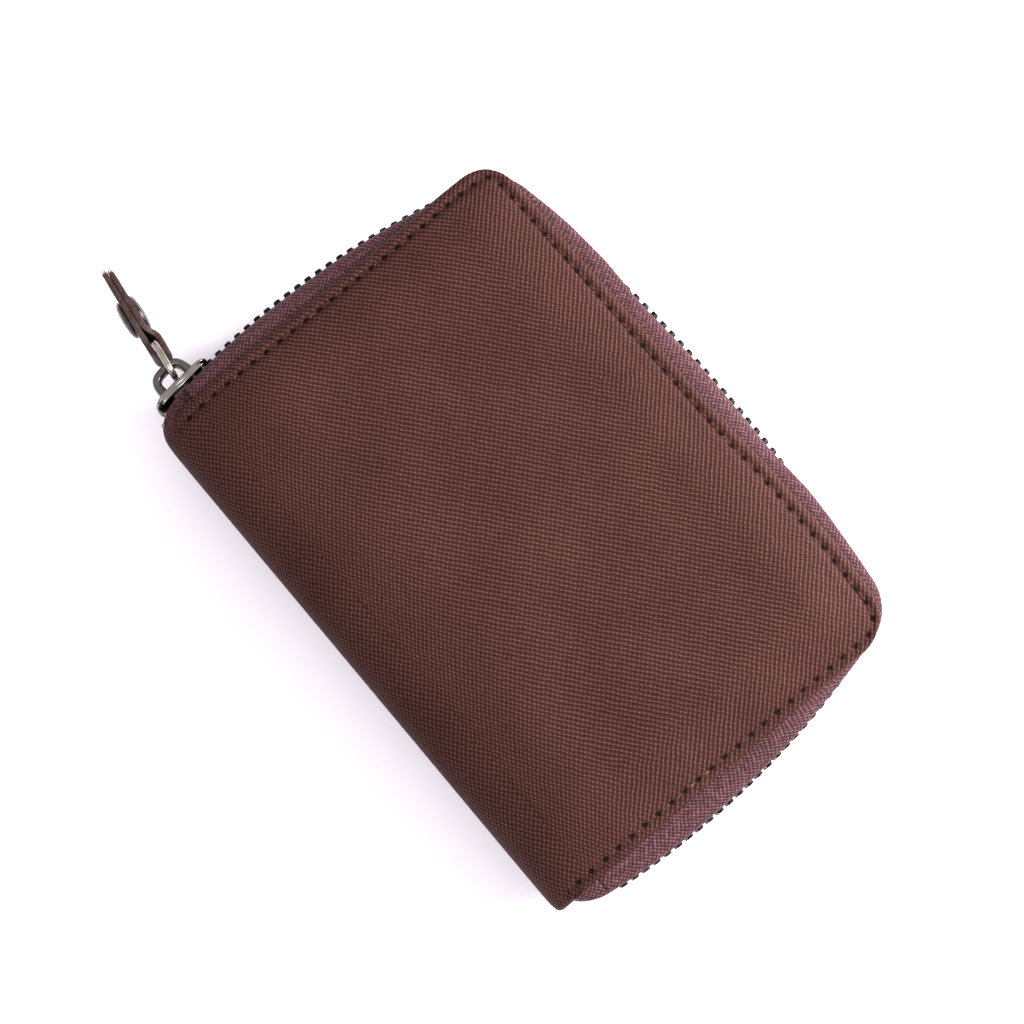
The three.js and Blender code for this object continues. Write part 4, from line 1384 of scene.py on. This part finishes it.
# Coated cloth: a pebbled grain of about 0.6 mm, half dull, with the paler knitted backing in flecks
# along the cut edges.
strap_finish, strap_tree, strap_shader = new_material(
    "brown_coated_cloth",
    roughness=0.5,
    specular_ior_level=0.25,
)
strap_place = add_node(strap_tree, "TexCoord", out="Object")
pebble_grain = {"Scale": 1700.0, "feature": "SMOOTH_F1"}
pebbles = add_node(strap_tree, "TexVoronoi", strap_place, out="Distance", **pebble_grain)
pebble_stops = [(0.1, "#33201d"), (0.5, "#211412"), (0.9, "#0e0706")]
pebble_colour = add_node(strap_tree, "ValToRGB", pebbles, stops=pebble_stops)
edge_share = add_node(strap_tree, "Attribute", attribute_name="raw_edge", out="Fac")
backing = add_node(strap_tree, "TexNoise", strap_place, Scale=3000.0, Detail=2.0)
backing_colour = add_node(strap_tree, "ValToRGB", backing, stops=[(0.35, "#190e0d"), (0.78, "#533934")])
edge_colour = add_node(strap_tree, "MixRGB", edge_share, pebble_colour, backing_colour)
strap_tree.links.new(edge_colour, strap_shader.inputs["Base Color"])
strap_bump = add_node(strap_tree, "Bump", Height=pebbles, Distance=0.12 * mm, Strength=0.8, invert=True)
strap_tree.links.new(strap_bump, strap_shader.inputs["Normal"])
raw_edge = np.concatenate(strap_marks)
strap = closed_piece("strap_folded", loft(strap_rings), strap_finish, raw_edge=raw_edge)
placed(strap, pull_origin, *pull_turns)
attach(strap, "pull_strap")
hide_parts("pull_strap")

# Loose fibres of the backing stand out of both cut ends.
fibre_chance = random.Random(5)
fibre_parts = []
fibre_root = 0.2  # how deep in the strap a fibre starts
fibre_taper = np.array([0.13, 0.12, 0.11, 0.09, 0.05])
for end_x, end_y in (strap_path[0], strap_path[-1]):
    for _ in range(70):
        y = end_y + fibre_chance.uniform(-0.42, 0.42)
        z = fibre_chance.uniform(-1, 1) * (strap_half_width - 0.2)
        length = fibre_chance.uniform(0.45, 1.5)
        lean_y, lean_z = fibre_chance.uniform(-0.35, 0.35), fibre_chance.uniform(-0.45, 0.45)
        curl = fibre_chance.uniform(-0.2, 0.2)
        route = []
        for t in np.linspace(0, 1, 5):
            beyond = end_x - fibre_root + (length + fibre_root) * t
            route.append((beyond, y + lean_y * t * t, z + lean_z * t * t + curl * math.sin(3 * t)))
        fibre_parts.append(tube(route, fibre_taper, 5))

# Undyed polyester fibre, pale pink from the dye of the coating. It is drawn thicker than real fibre
# so that it shows.
fibre_finish = mottled_finish(
    "loose_backing_fibre",
    "TexNoise",
    [(0.35, "#4a3230"), (0.65, "#b08a85")],
    on="Object",
    grain={"Scale": 1500.0},
    roughness=0.7,
)
fibres = closed_piece("strap_end_fibres", joined(fibre_parts), fibre_finish)
placed(fibres, pull_origin, *pull_turns)
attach(fibres, "pull_strap")


# ---- Rivet ----
# A double-cap rivet: two domed gunmetal caps, 8 mm across, pressed together through the strap.
cap_radius = 4.0
cap_height = 1.15
rivet_x = 16.0
rivet_y = 0.8
cap_seat = 1.2  # from the middle of the two layers to a cap's flat face


rim_height = 0.35
shank_radius, shank_end = 1.4, -1.3
cap_sides = 56


def rivet_half(name, node, side):
    """One cap of the rivet with its short shank, turned about the rivet's own axis."""
    profile = [(0.001, cap_height)]
    for a in np.linspace(0.12, math.pi / 2, 12):
        height = rim_height + (cap_height - rim_height) * math.cos(a)
        profile.append(((cap_radius - 0.25) * math.sin(a), height))
    profile += [(cap_radius - 0.05, 0.3), (cap_radius, 0.15), (cap_radius - 0.1, -0.02)]
    profile += [(cap_radius - 0.5, -0.1), (shank_radius + 0.1, -0.1)]
    profile += [(shank_radius, -0.2), (shank_radius, shank_end), (0.001, shank_end)]
    angles = np.linspace(0, 2 * math.pi, cap_sides, endpoint=False)
    seat = (rivet_x, rivet_y + side * cap_seat, 0)
    rings = []
    for r, h in profile:
        level = np.full(cap_sides, side * h)
        rings.append(np.stack([r * np.cos(angles), level, r * np.sin(angles)], 1) + seat)
    made = closed_piece(name, loft(rings), cap_plate)
    placed(made, pull_origin, *pull_turns)
    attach(made, "pull_strap")
    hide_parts(node)


# Gunmetal plate over brass, a little brushed by wear.
cap_plate = metal_finish("worn_gunmetal_cap", [(0.3, "#38322f"), (0.7, "#524b48")], 0.27, 0.008)
rivet_half("rivet_outer_cap", "rivet_cap", 1)
rivet_half("rivet_inner_cap", "rivet_base", -1)
